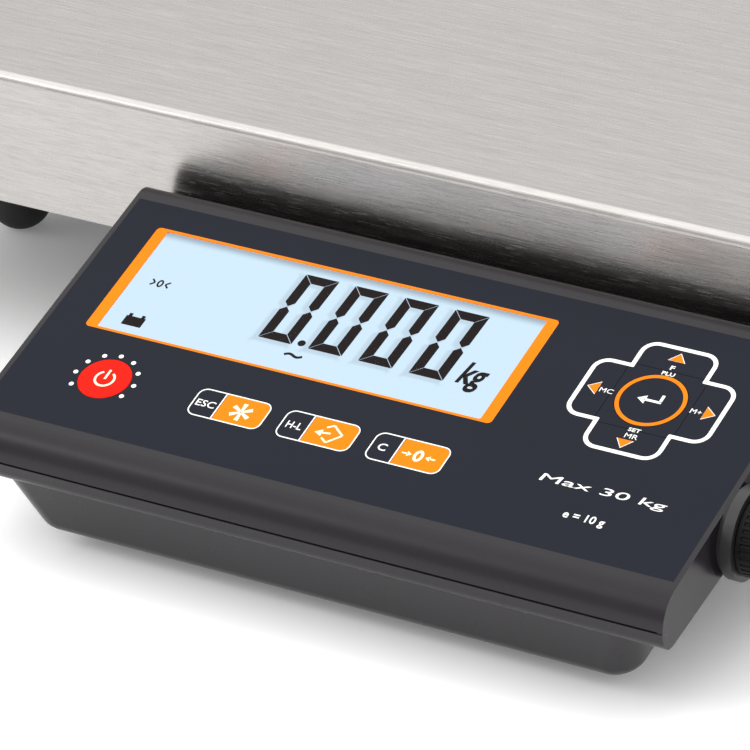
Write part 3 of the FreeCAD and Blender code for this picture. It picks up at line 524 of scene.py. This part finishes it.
@dataclass
class Face:
    """The indicator's face: u across and v up it from the window's middle, n out of it, in millimetres."""

    origin: np.ndarray
    across: np.ndarray
    upward: np.ndarray
    normal: np.ndarray

    @classmethod
    def from_frame(cls) -> "Face":
        """Find the face from the enter key's press axis and the window's top."""
        press = next(joint for joint in frame["joints"] if joint["name"] == "key_enter_press")
        normal = -np.array(press["axis"], float)
        across = np.array([1.0, 0.0, 0.0])
        upward = np.cross(normal, across)
        low, high = (np.array(corner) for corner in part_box("display_window"))
        centre = (low + high) / 2
        top = (node_points("display_window") @ normal).max()
        return cls(centre + normal * (top - centre @ normal), across, upward, normal)

    def world(self, points: np.ndarray) -> np.ndarray:
        """Row-frame points, in metres, of rows of u, v, n.

        Each point is the origin plus u, v and n times the face's three directions.
        """
        scaled = points * MILLIMETRE
        return (self.origin + scaled[:, :1] * self.across + scaled[:, 1:2] * self.upward
                + scaled[:, 2:3] * self.normal)

    def middle_of(self, node: str) -> Tuple[float, float]:
        """The u and v of the middle of a CAD node's box."""
        low, high = (np.array(corner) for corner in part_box(node))
        offset = ((low + high) / 2 - self.origin) / MILLIMETRE
        return float(offset @ self.across), float(offset @ self.upward)


class Pile:
    """Vertices and faces gathered from several shapes, to be made into one mesh."""

    def __init__(self) -> None:
        """Start with nothing."""
        self.points: List[np.ndarray] = []
        self.faces: List[Tuple[int, ...]] = []
        self.count = 0

    def add(self, points: np.ndarray, faces: Sequence[Sequence[int]]) -> None:
        """Add a shape whose faces count from its own first vertex."""
        self.points.append(points)
        self.faces.extend(tuple(index + self.count for index in face) for face in faces)
        self.count += len(points)

    def area(self, outline: Outline, low: float, high: float) -> None:
        """A filled convex outline, as a closed plate from low to high above the face."""
        size = len(outline)
        points = np.vstack([np.c_[outline, np.full(size, low)], np.c_[outline, np.full(size, high)]])
        faces: List[Tuple[int, ...]] = [tuple(range(size, 2 * size)), tuple(reversed(range(size)))]
        faces.extend((i, (i + 1) % size, size + (i + 1) % size, size + i) for i in range(size))
        self.add(points, faces)

    def band(self, outer: Outline, inner: Outline, low: float, high: float, closed: bool = True) -> None:
        """The strip between two outlines of as many points, as a closed plate."""
        size = len(outer)
        layers = [np.c_[line, np.full(size, height)] for height in (low, high) for line in (outer, inner)]
        out_low, in_low, out_high, in_high = (layer * size for layer in range(4))
        faces: List[Tuple[int, ...]] = []
        for i in range(size if closed else size - 1):
            j = (i + 1) % size
            faces.append((out_high + i, out_high + j, in_high + j, in_high + i))
            faces.append((out_low + j, out_low + i, in_low + i, in_low + j))
            faces.append((out_low + i, out_low + j, out_high + j, out_high + i))
            faces.append((in_low + j, in_low + i, in_high + i, in_high + j))
        if not closed:
            for end, order in ((0, 1), (size - 1, -1)):
                ring = (out_low + end, out_high + end, in_high + end, in_low + end)
                faces.append(ring[::order])
        self.add(np.vstack(layers), faces)


def new_piece(name: str, points: np.ndarray, faces: Sequence[Sequence[int]], body: str,
              finish: Finishes) -> bpy.types.Object:
    """Make a mesh object that rides on a body.

    Args:
        name: the piece's name.
        points: vertices in the row frame, in metres.
        faces: vertex numbers of each face.
        body: the CAD body that it moves with.
        finish: its finish.

    Returns:
        The new object.
    """
    mesh = bpy.data.meshes.new(name)
    mesh.from_pydata(points.tolist(), [], [list(face) for face in faces])
    mesh.update()
    thing = bpy.data.objects.new(name, mesh)
    bpy.context.scene.collection.objects.link(thing)
    finish.put_on(thing)
    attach(thing, body)
    LOG.info("%s: %d faces on %s", name, len(mesh.polygons), body)
    return thing


@dataclass
class Printer:
    """Lays ink on the face: thin closed plates, one mesh for each ink and body."""

    face: Face
    sunk: float = -0.02
    layer: float = 0.03

    def ink(self, name: str, body: str, finish: Finishes, draw: Callable[[Pile, float, float], None],
            level: int = 1) -> bpy.types.Object:
        """Print one ink.

        Args:
            name: the piece's name.
            body: the body that it is printed on.
            finish: the ink.
            draw: adds the shapes to a pile, given their low and high level.
            level: how many layers of ink it stands above the film.

        Returns:
            The printed piece.
        """
        pile = Pile()
        draw(pile, self.sunk, self.layer * level)
        return new_piece(name, self.face.world(np.vstack(pile.points)), pile.faces, body, finish)


@dataclass(frozen=True)
class Lettering:
    """A word, and the box on the face that it fills, in millimetres."""

    text: str
    left: float
    bottom: float
    width: float
    height: float
    slant: float = 0.0
    weight: float = 0.02

    def shape(self, low: float, high: float) -> Tuple[np.ndarray, List[Tuple[int, ...]]]:
        """The letters as closed plates.

        The letters are set once, then stretched so that their box is this one, and leant by the slant.

        Args:
            low: the plates' lower level.
            high: their upper level.

        Returns:
            Points as rows of u, v, n, and faces.
        """
        curve = bpy.data.curves.new("lettering", "FONT")
        curve.body = self.text
        curve.offset = self.weight
        curve.extrude = 0.5
        curve.resolution_u = 3
        holder = bpy.data.objects.new("lettering", curve)
        bpy.context.scene.collection.objects.link(holder)
        bpy.context.view_layer.update()
        mesh = bpy.data.meshes.new_from_object(holder)
        flat = np.empty(len(mesh.vertices) * 3, np.float32)
        mesh.vertices.foreach_get("co", flat)
        points = flat.reshape(-1, 3).astype(float)
        faces = [tuple(polygon.vertices) for polygon in mesh.polygons]
        bpy.data.objects.remove(holder)
        bpy.data.curves.remove(curve)
        bpy.data.meshes.remove(mesh)
        lowest, highest = points[:, :2].min(0), points[:, :2].max(0)
        share = (points[:, :2] - lowest) / (highest - lowest)
        across = self.left + share[:, 0] * self.width + self.slant * share[:, 1] * self.height
        upward = self.bottom + share[:, 1] * self.height
        level = np.where(points[:, 2] > 0, high, low)
        return np.c_[across, upward, level], faces


# Sub-assemblies
@dataclass
class FaceLegends:
    """The inks of the keys and of the film round them."""

    printer: Printer
    keys: Tuple[str, ...] = ("key_escape", "key_units", "key_clear")
    key_size: Tuple[float, float] = (21.5, 10.0)
    key_corner: float = 2.5
    cross_reach: float = 20.2
    cross_half: float = 10.9
    line: float = 0.35

    def build(self) -> None:
        """Print every key and the words round them."""
        self.function_keys()
        self.power_key()
        self.arrow_keys()
        self.words()

    def function_keys(self) -> None:
        """Orange keys with a dark end, a thin white edge and a legend each."""
        for key in self.keys:
            self.function_key(key)

    def function_key(self, key: str) -> None:
        """One function key: orange from the dividing line to the right end, and its white outline."""
        centre = np.array(self.printer.face.middle_of(key))
        width, height = self.key_size
        edge = centre[0] - width / 2
        divide = edge + 7.6

        def orange(pile: Pile, low: float, high: float) -> None:
            corners = box_corners(((divide + edge + width) / 2, centre[1]), edge + width - divide, height)
            shape = rounded(inset(corners, self.line), (0.01, self.key_corner, self.key_corner, 0.01))
            pile.area(shape, low, high)

        def outline(pile: Pile, low: float, high: float) -> None:
            corners = box_corners(centre, width, height)
            outer = rounded(corners, (self.key_corner,) * 4)
            inner = rounded(inset(corners, self.line), (self.key_corner - self.line,) * 4)
            pile.band(outer, inner, low, high)
            pile.area(box_corners((divide, centre[1]), self.line, height - 0.2), low, high)

        self.printer.ink(key + "_orange", key, Finishes.ORANGE, orange)
        self.printer.ink(key + "_outline", key, Finishes.WHITE, outline, 2)
        icons = {"key_escape": self.star, "key_units": self.unit_arrows, "key_clear": self.zero_arrows}
        self.printer.ink(key + "_icon", key, Finishes.CREAM, icons[key], 2)

    def star(self, pile: Pile, low: float, high: float) -> None:
        """Six flared arms."""
        for step in range(6):
            angle = math.radians(90 + 60 * step)
            along = np.array([math.cos(angle), math.sin(angle)])
            side = np.array([-along[1], along[0]])
            centre = np.array([-3.6, -36.4])
            arm = np.array([centre - side * 0.28, centre + along * 3.1 - side * 0.62,
                            centre + along * 3.1 + side * 0.62, centre + side * 0.28])
            pile.area(arm, low, high)

    def unit_arrows(self, pile: Pile, low: float, high: float) -> None:
        """A diamond open at the left, and an arrow that comes back out of it."""
        top, right, bottom = (22.3, -33.2), (25.9, -35.9), (22.8, -39.4)
        for start, end in ((top, right), (right, bottom), (top, (20.6, -34.4)), (bottom, (20.9, -38.1))):
            pile.area(thick_line(start, end, 0.55), low, high)
        pile.area(thick_line((20.0, -36.5), (22.6, -36.1), 0.6), low, high)
        pile.area(np.array([(18.2, -36.7), (20.3, -37.7), (20.2, -35.3)]), low, high)

    def zero_arrows(self, pile: Pile, low: float, high: float) -> None:
        """A bold nought between two arrows that point at it."""
        angles = np.linspace(0, 2 * math.pi, 28, endpoint=False)
        ring = np.c_[np.cos(angles), np.sin(angles)]
        middle = np.array([48.1, -36.3])
        pile.band(middle + ring * (1.35, 2.05), middle + ring * (0.55, 1.2), low, high)
        for tip, direction in ((46.2, 1), (50.1, -1)):
            level, back = -36.35, tip - 1.3 * direction
            tail, neck = (tip - 2.8 * direction, level), (tip - 0.9 * direction, level)
            pile.area(thick_line(tail, neck, 0.5), low, high)
            head = np.array([(tip, level), (back, level + 0.9 * direction), (back, level - 0.9 * direction)])
            pile.area(head, low, high)

    def power_key(self) -> None:
        """The red key: its ink, the switch sign and an arc of dots outside it."""
        centre = np.array(self.printer.face.middle_of("key_power"))

        def red(pile: Pile, low: float, high: float) -> None:
            pile.area(arc_points(centre, 7.18, 0, 360, 73)[:-1], low, high)

        def sign(pile: Pile, low: float, high: float) -> None:
            outer = arc_points(centre, 2.95, 122, 418, 44)
            inner = arc_points(centre, 2.3, 122, 418, 44)
            pile.band(outer, inner, low, high, closed=False)
            pile.area(thick_line(centre + (0, -0.1), centre + (0, 3.4), 0.65), low, high)

        def dots(pile: Pile, low: float, high: float) -> None:
            for spot in arc_points(centre, 8.8, -30, 210, 9):
                pile.area(arc_points(spot, 0.68, 0, 360, 17)[:-1], low, high)

        self.printer.ink("power_red", "key_power", Finishes.RED, red)
        self.printer.ink("power_sign", "key_power", Finishes.CREAM, sign, 2)
        self.printer.ink("power_dots", "indicator", Finishes.WHITE, dots)

    def cross(self, reach: float, half: float) -> Tuple[Outline, List[float]]:
        """The twelve corners of a cross round the arrow keys, and each corner's radius."""
        middle = np.array(self.printer.face.middle_of("key_enter"))
        around = [(half, half), (reach, half), (reach, -half), (half, -half),
                  (half, -reach), (-half, -reach), (-half, -half), (-reach, -half),
                  (-reach, half), (-half, half), (-half, reach), (half, reach)]
        corners = np.array(around[::-1], float) + middle
        outer = 4.4 - (self.cross_reach - reach)
        radii = [0.35 if abs(abs(u) - abs(v)) < 1e-6 else outer for u, v in around[::-1]]
        return corners, radii

    def arrow_keys(self) -> None:
        """The white cross round the arrow keys, the ring, and the sign on each key."""
        middle = np.array(self.printer.face.middle_of("key_enter"))

        def cross_line(pile: Pile, low: float, high: float) -> None:
            outer, outer_radii = self.cross(self.cross_reach, self.cross_half)
            inner, inner_radii = self.cross(self.cross_reach - 1.2, self.cross_half - 1.2)
            pile.band(rounded(outer, outer_radii), rounded(inner, inner_radii), low, high)

        def ring(pile: Pile, low: float, high: float) -> None:
            outer, inner = (arc_points(middle, radius, 0, 360, 73)[:-1] for radius in (9.3, 8.2))
            pile.band(outer, inner, low, high)

        def enter(pile: Pile, low: float, high: float) -> None:
            tip, bend, end = middle + (-3.8, -0.1), middle + (2.5, -0.1), middle + (2.5, 2.6)
            pile.area(np.array([tip, tip + (2.3, -1.5), tip + (2.3, 1.5)]), low, high)
            pile.area(thick_line(tip + (1.8, 0), bend + (0.4, 0), 0.8), low, high)
            pile.area(thick_line(bend, end, 0.8), low, high)

        self.printer.ink("arrow_cross", "indicator", Finishes.WHITE, cross_line)
        self.printer.ink("enter_ring", "key_enter", Finishes.ORANGE, ring)
        self.printer.ink("enter_sign", "key_enter", Finishes.WHITE, enter)
        for key, turn in (("key_right", 0), ("key_up", 90), ("key_left", 180), ("key_down", 270)):
            self.arrow(key, turn, middle)

    def arrow(self, key: str, turn: int, middle: np.ndarray) -> None:
        """One arrow head that points away from the middle: white below, and orange on top of it."""
        angle = math.radians(turn)
        along = np.array([math.cos(angle), math.sin(angle)])
        side = np.array([-along[1], along[0]])

        def head(grow: float) -> Callable[[Pile, float, float], None]:
            def draw(pile: Pile, low: float, high: float) -> None:
                base = middle + along * (14.9 - grow * 0.1)
                tip = middle + along * (17.75 + grow)
                flank = side * (2.15 + grow)
                pile.area(np.array([base - flank, tip, base + flank]), low, high)
            return draw

        self.printer.ink(key + "_arrow_edge", key, Finishes.WHITE, head(0.28))
        self.printer.ink(key + "_arrow", key, Finishes.ORANGE, head(0.0), 2)

    def words(self) -> None:
        """Every printed word, letters as closed plates."""
        on_keys = {
            "key_escape": Lettering("ESC", -16.8, -37.6, 5.5, 2.3, weight=0.005),
            "key_units": Lettering("H-L", 9.9, -37.5, 4.4, 2.4, weight=0.005),
            "key_clear": Lettering("C", 36.5, -37.5, 2.4, 2.5, weight=0.01),
            "key_left": Lettering("MC", 81.4, -0.6, 3.7, 1.6, weight=0.0),
            "key_right": Lettering("M+", 106.9, -0.5, 3.1, 1.6, weight=0.0),
        }
        for key, word in on_keys.items():
            self.word(key + "_word", key, word)
        pairs = {
            "key_up": (Lettering("F", 95.2, 12.2, 1.2, 1.5), Lettering("PLU", 93.9, 10.0, 3.6, 1.3)),
            "key_down": (Lettering("SET", 94.8, -11.3, 3.4, 1.3),
                         Lettering("MR", 94.9, -13.7, 3.6, 1.6, weight=0.0)),
        }
        for key, both in pairs.items():
            for number, word in enumerate(both):
                self.word(f"{key}_word_{number}", key, word)
        self.word("capacity_word", "indicator",
                  Lettering("Max 30 kg", 81.0, -35.0, 34.8, 3.4, slant=0.2, weight=0.0))
        self.word("division_word", "indicator", Lettering("e = 10 g", 92.6, -45.0, 11.4, 3.4, weight=0.014))

    def word(self, name: str, body: str, word: Lettering) -> None:
        """Print one word in white."""
        points, faces = word.shape(self.printer.sunk, self.printer.layer * 2)
        new_piece(name, self.printer.face.world(points), faces, body, Finishes.WHITE)


@dataclass
class DigitalReadout:
    """The lit ground, its dark segments, the small signs and the shadow that they throw."""

    face: Face
    value: str = "0000"
    first: Tuple[float, float] = (-13.5, -9.4)
    pitch: float = 14.85
    size: Tuple[float, float] = (9.9, 25.2)
    stroke: float = 2.9
    lean: float = 0.035
    gap: float = 0.12
    surface: float = -0.3
    lifts: Tuple[float, float] = (0.03, 0.09)
    ground: Tuple[float, float] = (114.0, 38.4)
    grid: Tuple[int, int] = (285, 97)
    shadow_shift: Tuple[float, float] = (-1.0, -0.9)
    shadow_soft: float = 1.1
    shadow_depth: float = 0.22
    edge_soft: float = 3.2
    edge_depth: float = 0.6
    lit: Mapping[str, str] = field(default_factory=lambda: {"0": "abcdef"})

    def segments(self, corner: Sequence[float]) -> Dict[str, Outline]:
        """The outer segments of one digit, each a six-cornered bar, from its lower left corner.

        The bars meet on the digit's centre lines, and their ends are cut at 45 degrees.
        """
        width, height = self.size
        half = self.stroke / 2
        left, right = half, width - half
        low, mid, high = half, height / 2, height - half
        nodes = {"a": ((left, high), (right, high)), "d": ((left, low), (right, low)),
                 "b": ((right, mid), (right, high)), "c": ((right, low), (right, mid)),
                 "e": ((left, low), (left, mid)), "f": ((left, mid), (left, high))}
        return {name: self.bar(ends, corner) for name, ends in nodes.items()}

    def bar(self, ends: Tuple[Sequence[float], Sequence[float]], corner: Sequence[float]) -> Outline:
        """One bar between two centre points, with pointed ends.

        Its outer long side reaches the digit's edge, so that neighbours meet in a mitre.
        """
        start, end = np.array(ends[0], float), np.array(ends[1], float)
        along = (end - start) / np.linalg.norm(end - start)
        side = np.array([-along[1], along[0]])
        half = self.stroke / 2
        width, height = self.size
        points = []
        for place, sign, flank in ((start, 1, -1), (end, -1, -1), (end, -1, 0),
                                   (end, -1, 1), (start, 1, 1), (start, 1, 0)):
            reach = self.gap + (half * abs(flank))
            outward = place + side * half * flank
            beyond = outward + along * sign * reach
            margin = min(outward[0], width - outward[0], outward[1], height - outward[1])
            if flank and margin < 1e-6 and not self.is_middle(place):
                beyond = outward - along * sign * (half - self.gap)
            points.append(beyond)
        shape = np.array(points)
        leant = shape + np.c_[shape[:, 1] * self.lean, np.zeros(len(shape))]
        return leant + np.array(corner)

    def is_middle(self, place: np.ndarray) -> bool:
        """Whether a bar's end is at half the digit's height."""
        return abs(float(place[1]) - self.size[1] / 2) < 1e-6

    def bars(self) -> List[Outline]:
        """Every bar that is lit."""
        found: List[Outline] = []
        for number, digit in enumerate(self.value):
            corner = (self.first[0] + self.pitch * number, self.first[1])
            shapes = self.segments(corner)
            found.extend(shapes[name] for name in self.lit[digit])
        return found

    def signs(self) -> List[Outline]:
        """The decimal point, the stable sign, the zero sign and the battery sign."""
        shapes = [arc_points((-1.1, -8.2), 1.1, 0, 360, 21)[:-1]]
        angles = np.linspace(0, 1, 14)
        wave = np.c_[-3.6 + 5.1 * angles, -13.3 + 0.5 * np.sin(2 * math.pi * angles) + 0.5 * angles]
        for start, end in zip(wave[:-1], wave[1:]):
            shapes.append(thick_line(start, end + (end - start) * 0.1, 0.8))
        for u, direction in ((-51.1, 1), (-46.5, -1)):
            tip = np.array([u + 0.7 * direction, 0.6])
            shapes.append(thick_line(tip, tip + (-1.1 * direction, 1.1), 0.5))
            shapes.append(thick_line(tip, tip + (-1.1 * direction, -1.1), 0.5))
        shapes.append(box_corners((-48.4, -14.6), 5.8, 3.4))
        shapes.extend(box_corners((u, -12.5), 1.0, 1.2) for u in (-50.3, -46.5))
        return shapes

    def build(self) -> None:
        """Lay down the ground and then the dark shapes over it."""
        shapes = self.bars() + self.signs()
        pile = Pile()
        low, high = (self.surface + lift for lift in self.lifts)
        for shape in shapes:
            pile.area(shape, low, high)
        ring = arc_points((0, 0), 1.0, 0, 360, 25)[:-1]
        nought = np.array([-48.8, 0.6])
        pile.band(nought + ring * (0.9, 1.4), nought + ring * (0.4, 0.85), low, high)
        new_piece("display_segments", self.face.world(np.vstack(pile.points)), pile.faces, "indicator",
                  Finishes.SEGMENT)
        unit = Lettering("kg", 43.7, -11.3, 6.8, 10.6, slant=0.15, weight=0.025)
        points, faces = unit.shape(low, high)
        new_piece("display_unit", self.face.world(points), faces, "indicator", Finishes.SEGMENT)
        self.lit_ground()

    def lit_ground(self) -> None:
        """A closed slab whose front is a fine grid that carries the shade of bars and edges."""
        width, height = self.ground[0] - 0.2, self.ground[1] - 0.2
        columns, rows = self.grid
        u, v = np.meshgrid(np.linspace(-width / 2, width / 2, columns),
                           np.linspace(-height / 2, height / 2, rows))
        flat = np.c_[u.ravel(), v.ravel()]
        front = np.c_[flat, np.full(len(flat), self.surface + 0.02)]
        index = np.arange(len(flat)).reshape(rows, columns)
        quads = np.stack([index[:-1, :-1], index[:-1, 1:], index[1:, 1:], index[1:, :-1]], axis=-1)
        rim = np.concatenate([index[0, :], index[1:, -1], index[-1, -2::-1], index[-2:0:-1, 0]])
        under = np.c_[flat[rim], np.full(len(rim), self.surface - 0.05)]
        below = np.arange(len(rim)) + len(flat)
        walls = np.stack([rim, below, np.roll(below, -1), np.roll(rim, -1)], axis=-1)
        faces = quads.reshape(-1, 4).tolist() + walls.tolist() + [below[::-1].tolist()]
        points = np.vstack([front, under])
        ground = new_piece("display_ground", self.face.world(points), faces, "indicator", Finishes.GLOW)
        attribute = ground.data.attributes.new("shade", "FLOAT", "POINT")
        shade = np.concatenate([self.shade(flat), np.zeros(len(rim))])
        attribute.data.foreach_set("value", shade.astype(np.float32))

    def shade(self, places: np.ndarray) -> np.ndarray:
        """How dark the ground is at each place, from 0 to 1.

        A bar's shadow is full inside the moved bar and falls smoothly over a soft distance outside it.
        The frame's shadow falls in the same way below the upper edge.
        """
        dark = np.zeros(len(places))
        for shape in self.bars():
            moved = shape + np.array(self.shadow_shift)
            dark = np.maximum(dark, self.near(places, moved, self.shadow_soft) * self.shadow_depth)
        top = self.ground[1] / 2 - places[:, 1]
        edge = np.clip(1 - top / self.edge_soft, 0, 1)
        return np.clip(dark + self.edge_depth * edge * edge * (3 - 2 * edge), 0, 1)

    def near(self, places: np.ndarray, shape: Outline, soft: float) -> np.ndarray:
        """One inside a convex outline, falling to zero at a distance outside it.

        The distance is the largest of the signed distances to the outline's sides.
        """
        ahead = np.roll(shape, -1, axis=0) - shape
        keep = np.linalg.norm(ahead, axis=1) > 1e-6
        starts, ahead = shape[keep], ahead[keep]
        outward = np.c_[ahead[:, 1], -ahead[:, 0]] / np.linalg.norm(ahead, axis=1)[:, None]
        area = np.sum(shape[:, 0] * np.roll(shape[:, 1], -1) - np.roll(shape[:, 0], -1) * shape[:, 1])
        outward = outward * (1.0 if area > 0 else -1.0)
        distance = np.max(places @ outward.T - (starts * outward).sum(1), axis=1)
        share = np.clip(1 - np.maximum(distance, -0.3) / soft, 0, 1)
        return share * share * (3 - 2 * share)


@dataclass
class CadDressing:
    """Gives every node of the CAD frame its finish."""

    finishes: Mapping[Finishes, Sequence[str]] = field(default_factory=lambda: {
        Finishes.PAN_STEEL: ("pan",),
        Finishes.FRAME_PAINT: ("base_frame", "upper_frame"),
        Finishes.BRACKET_PAINT: ("tilt_bracket",),
        Finishes.ZINC: ("overload_stop_screws", "overload_stop_nuts", "foot_lock_nuts", "cell_bolts_lower",
                        "cell_bolts_upper", "case_screws", "snap_domes", "serial_shell", "serial_jack_nuts",
                        "bracket_screws", *(f"foot_stud_{corner}" for corner in CORNERS)),
        Finishes.RUBBER: ("pan_buffers", "friction_washer", *(f"foot_pad_{corner}" for corner in CORNERS)),
        Finishes.ALUMINIUM: ("load_cell", "cell_spacer_lower", "cell_spacer_upper"),
        Finishes.CASE_PLASTIC: ("top_case", "bottom_case", "end_cheek_left", "end_cheek_right"),
        Finishes.OVERLAY: ("face_overlay", "key_escape", "key_units", "key_clear", "key_up", "key_down",
                           "key_left", "key_right", "key_enter"),
        Finishes.RED: ("key_power",),
        Finishes.ORANGE: ("display_surround",),
        Finishes.WINDOW: ("display_window",),
        Finishes.SHEET: ("keypad_circuit",),
        Finishes.GUIDE: ("backlight", "lcd_glass"),
        Finishes.BOARD: ("main_board",),
        Finishes.DARK_PLASTIC: ("board_parts", "serial_insulator", "power_inlet", "case_gland", "frame_gland",
                                "level_housing"),
        Finishes.KNOB_PLASTIC: ("tilt_knob",),
        Finishes.BRASS: ("tilt_stud", "pivot_pin", "stud_inserts"),
        Finishes.SLEEVE: ("battery_pack",),
        Finishes.FLUID: ("level_vial",),
    })

    def build(self) -> None:
        """Put each finish on its nodes, and say so if a node has none."""
        dressed = set()
        for finish, nodes in self.finishes.items():
            for node in nodes:
                finish.put_on(frame["nodes"][node])
                dressed.add(node)
        bare = sorted(set(frame["nodes"]) - dressed)
        if bare:
            LOG.warning("no finish for %s", ", ".join(bare))


@dataclass
class Studio:
    """The pale floor, the soft lights, the bright surroundings and the camera."""

    floor_size: float = 12.0
    camera_at: Colour = (0.62945, -1.33157, 0.67138)
    lens: float = 269.45
    azimuth: float = 29.3676
    elevation: float = 25.5348
    horizon: float = 0.88
    zenith: float = 1.7

    def build(self) -> None:
        """Set up the whole studio."""
        self.floor()
        self.world()
        self.lights()
        self.camera()
        bpy.context.scene.view_settings.view_transform = "Standard"

    def floor(self) -> None:
        """A wide pale floor just under the feet."""
        half = self.floor_size / 2
        mesh = bpy.data.meshes.new("floor")
        corners = [(-half, -half, 0), (half, -half, 0), (half, half, 0), (-half, half, 0)]
        mesh.from_pydata(corners, [], [(0, 1, 2, 3)])
        ground = bpy.data.objects.new("floor", mesh)
        bpy.context.scene.collection.objects.link(ground)
        graph = Graph("floor_paint")
        drift = graph.noise(graph.place(), 1.5, 2.0)
        paint = graph.blended(drift, (0.97, 0.97, 0.97), (0.985, 0.985, 0.985))
        graph.dress(Base_Color=paint, Roughness=0.65,
                    Specular_IOR_Level=0.1, Emission_Color=(1.0, 1.0, 1.0), Emission_Strength=0.13)
        mesh.materials.append(graph.material)

    def world(self) -> None:
        """White surroundings, brighter overhead, so that the pan's folds shine."""
        world = bpy.data.worlds.new("surroundings")
        world.use_nodes = True
        background = world.node_tree.nodes["Background"]
        tree = world.node_tree
        parts = tree.nodes.new("ShaderNodeSeparateXYZ")
        ramp = tree.nodes.new("ShaderNodeMapRange")
        tree.links.new(tree.nodes.new("ShaderNodeTexCoord").outputs["Generated"], parts.inputs[0])
        tree.links.new(parts.outputs[2], ramp.inputs[0])
        for socket, value in zip(list(ramp.inputs)[1:5], (0.5, 0.62, self.horizon / self.zenith, 1.0)):
            socket.default_value = value
        tree.links.new(ramp.outputs[0], background.inputs[0])
        background.inputs[1].default_value = self.zenith
        bpy.context.scene.world = world

    def lights(self) -> None:
        """Soft boxes: a small one above for the contact shadow and one low at the left."""
        self.soft_box("top_light", (0.0, 0.1, 2.2), (0, 0, 0), 1.0, 3.0)
        self.soft_box("left_light", (-1.8, -1.2, 1.3), (0, 0, 0.05), 1.2, 12.0)

    def soft_box(self, name: str, place: Colour, target: Colour, size: float, power: float) -> None:
        """A square area light that faces a target."""
        data = bpy.data.lights.new(name, "AREA")
        data.size = size
        data.energy = power
        lamp = bpy.data.objects.new(name, data)
        lamp.location = place
        lamp.rotation_euler = (Vector(target) - Vector(place)).to_track_quat("-Z", "Y").to_euler()
        bpy.context.scene.collection.objects.link(lamp)

    def camera(self) -> None:
        """A long lens, turned to the right of the front and looking down."""
        data = bpy.data.cameras.new("camera")
        data.lens = self.lens
        data.sensor_width = 36.0
        data.clip_end = 50.0
        eye = bpy.data.objects.new("camera", data)
        eye.location = self.camera_at
        turn, drop = math.radians(self.azimuth), math.radians(self.elevation)
        ahead = Vector((-math.sin(turn) * math.cos(drop), math.cos(turn) * math.cos(drop), -math.sin(drop)))
        eye.rotation_euler = ahead.to_track_quat("-Z", "Y").to_euler()
        bpy.context.scene.collection.objects.link(eye)
        bpy.context.scene.camera = eye


def main() -> None:
    """Build the looks."""
    logging.basicConfig(level=logging.INFO)
    face = Face.from_frame()
    CadDressing().build()
    FaceLegends(Printer(face)).build()
    DigitalReadout(face).build()
    Studio().build()


if __name__ == "__main__":
    main()
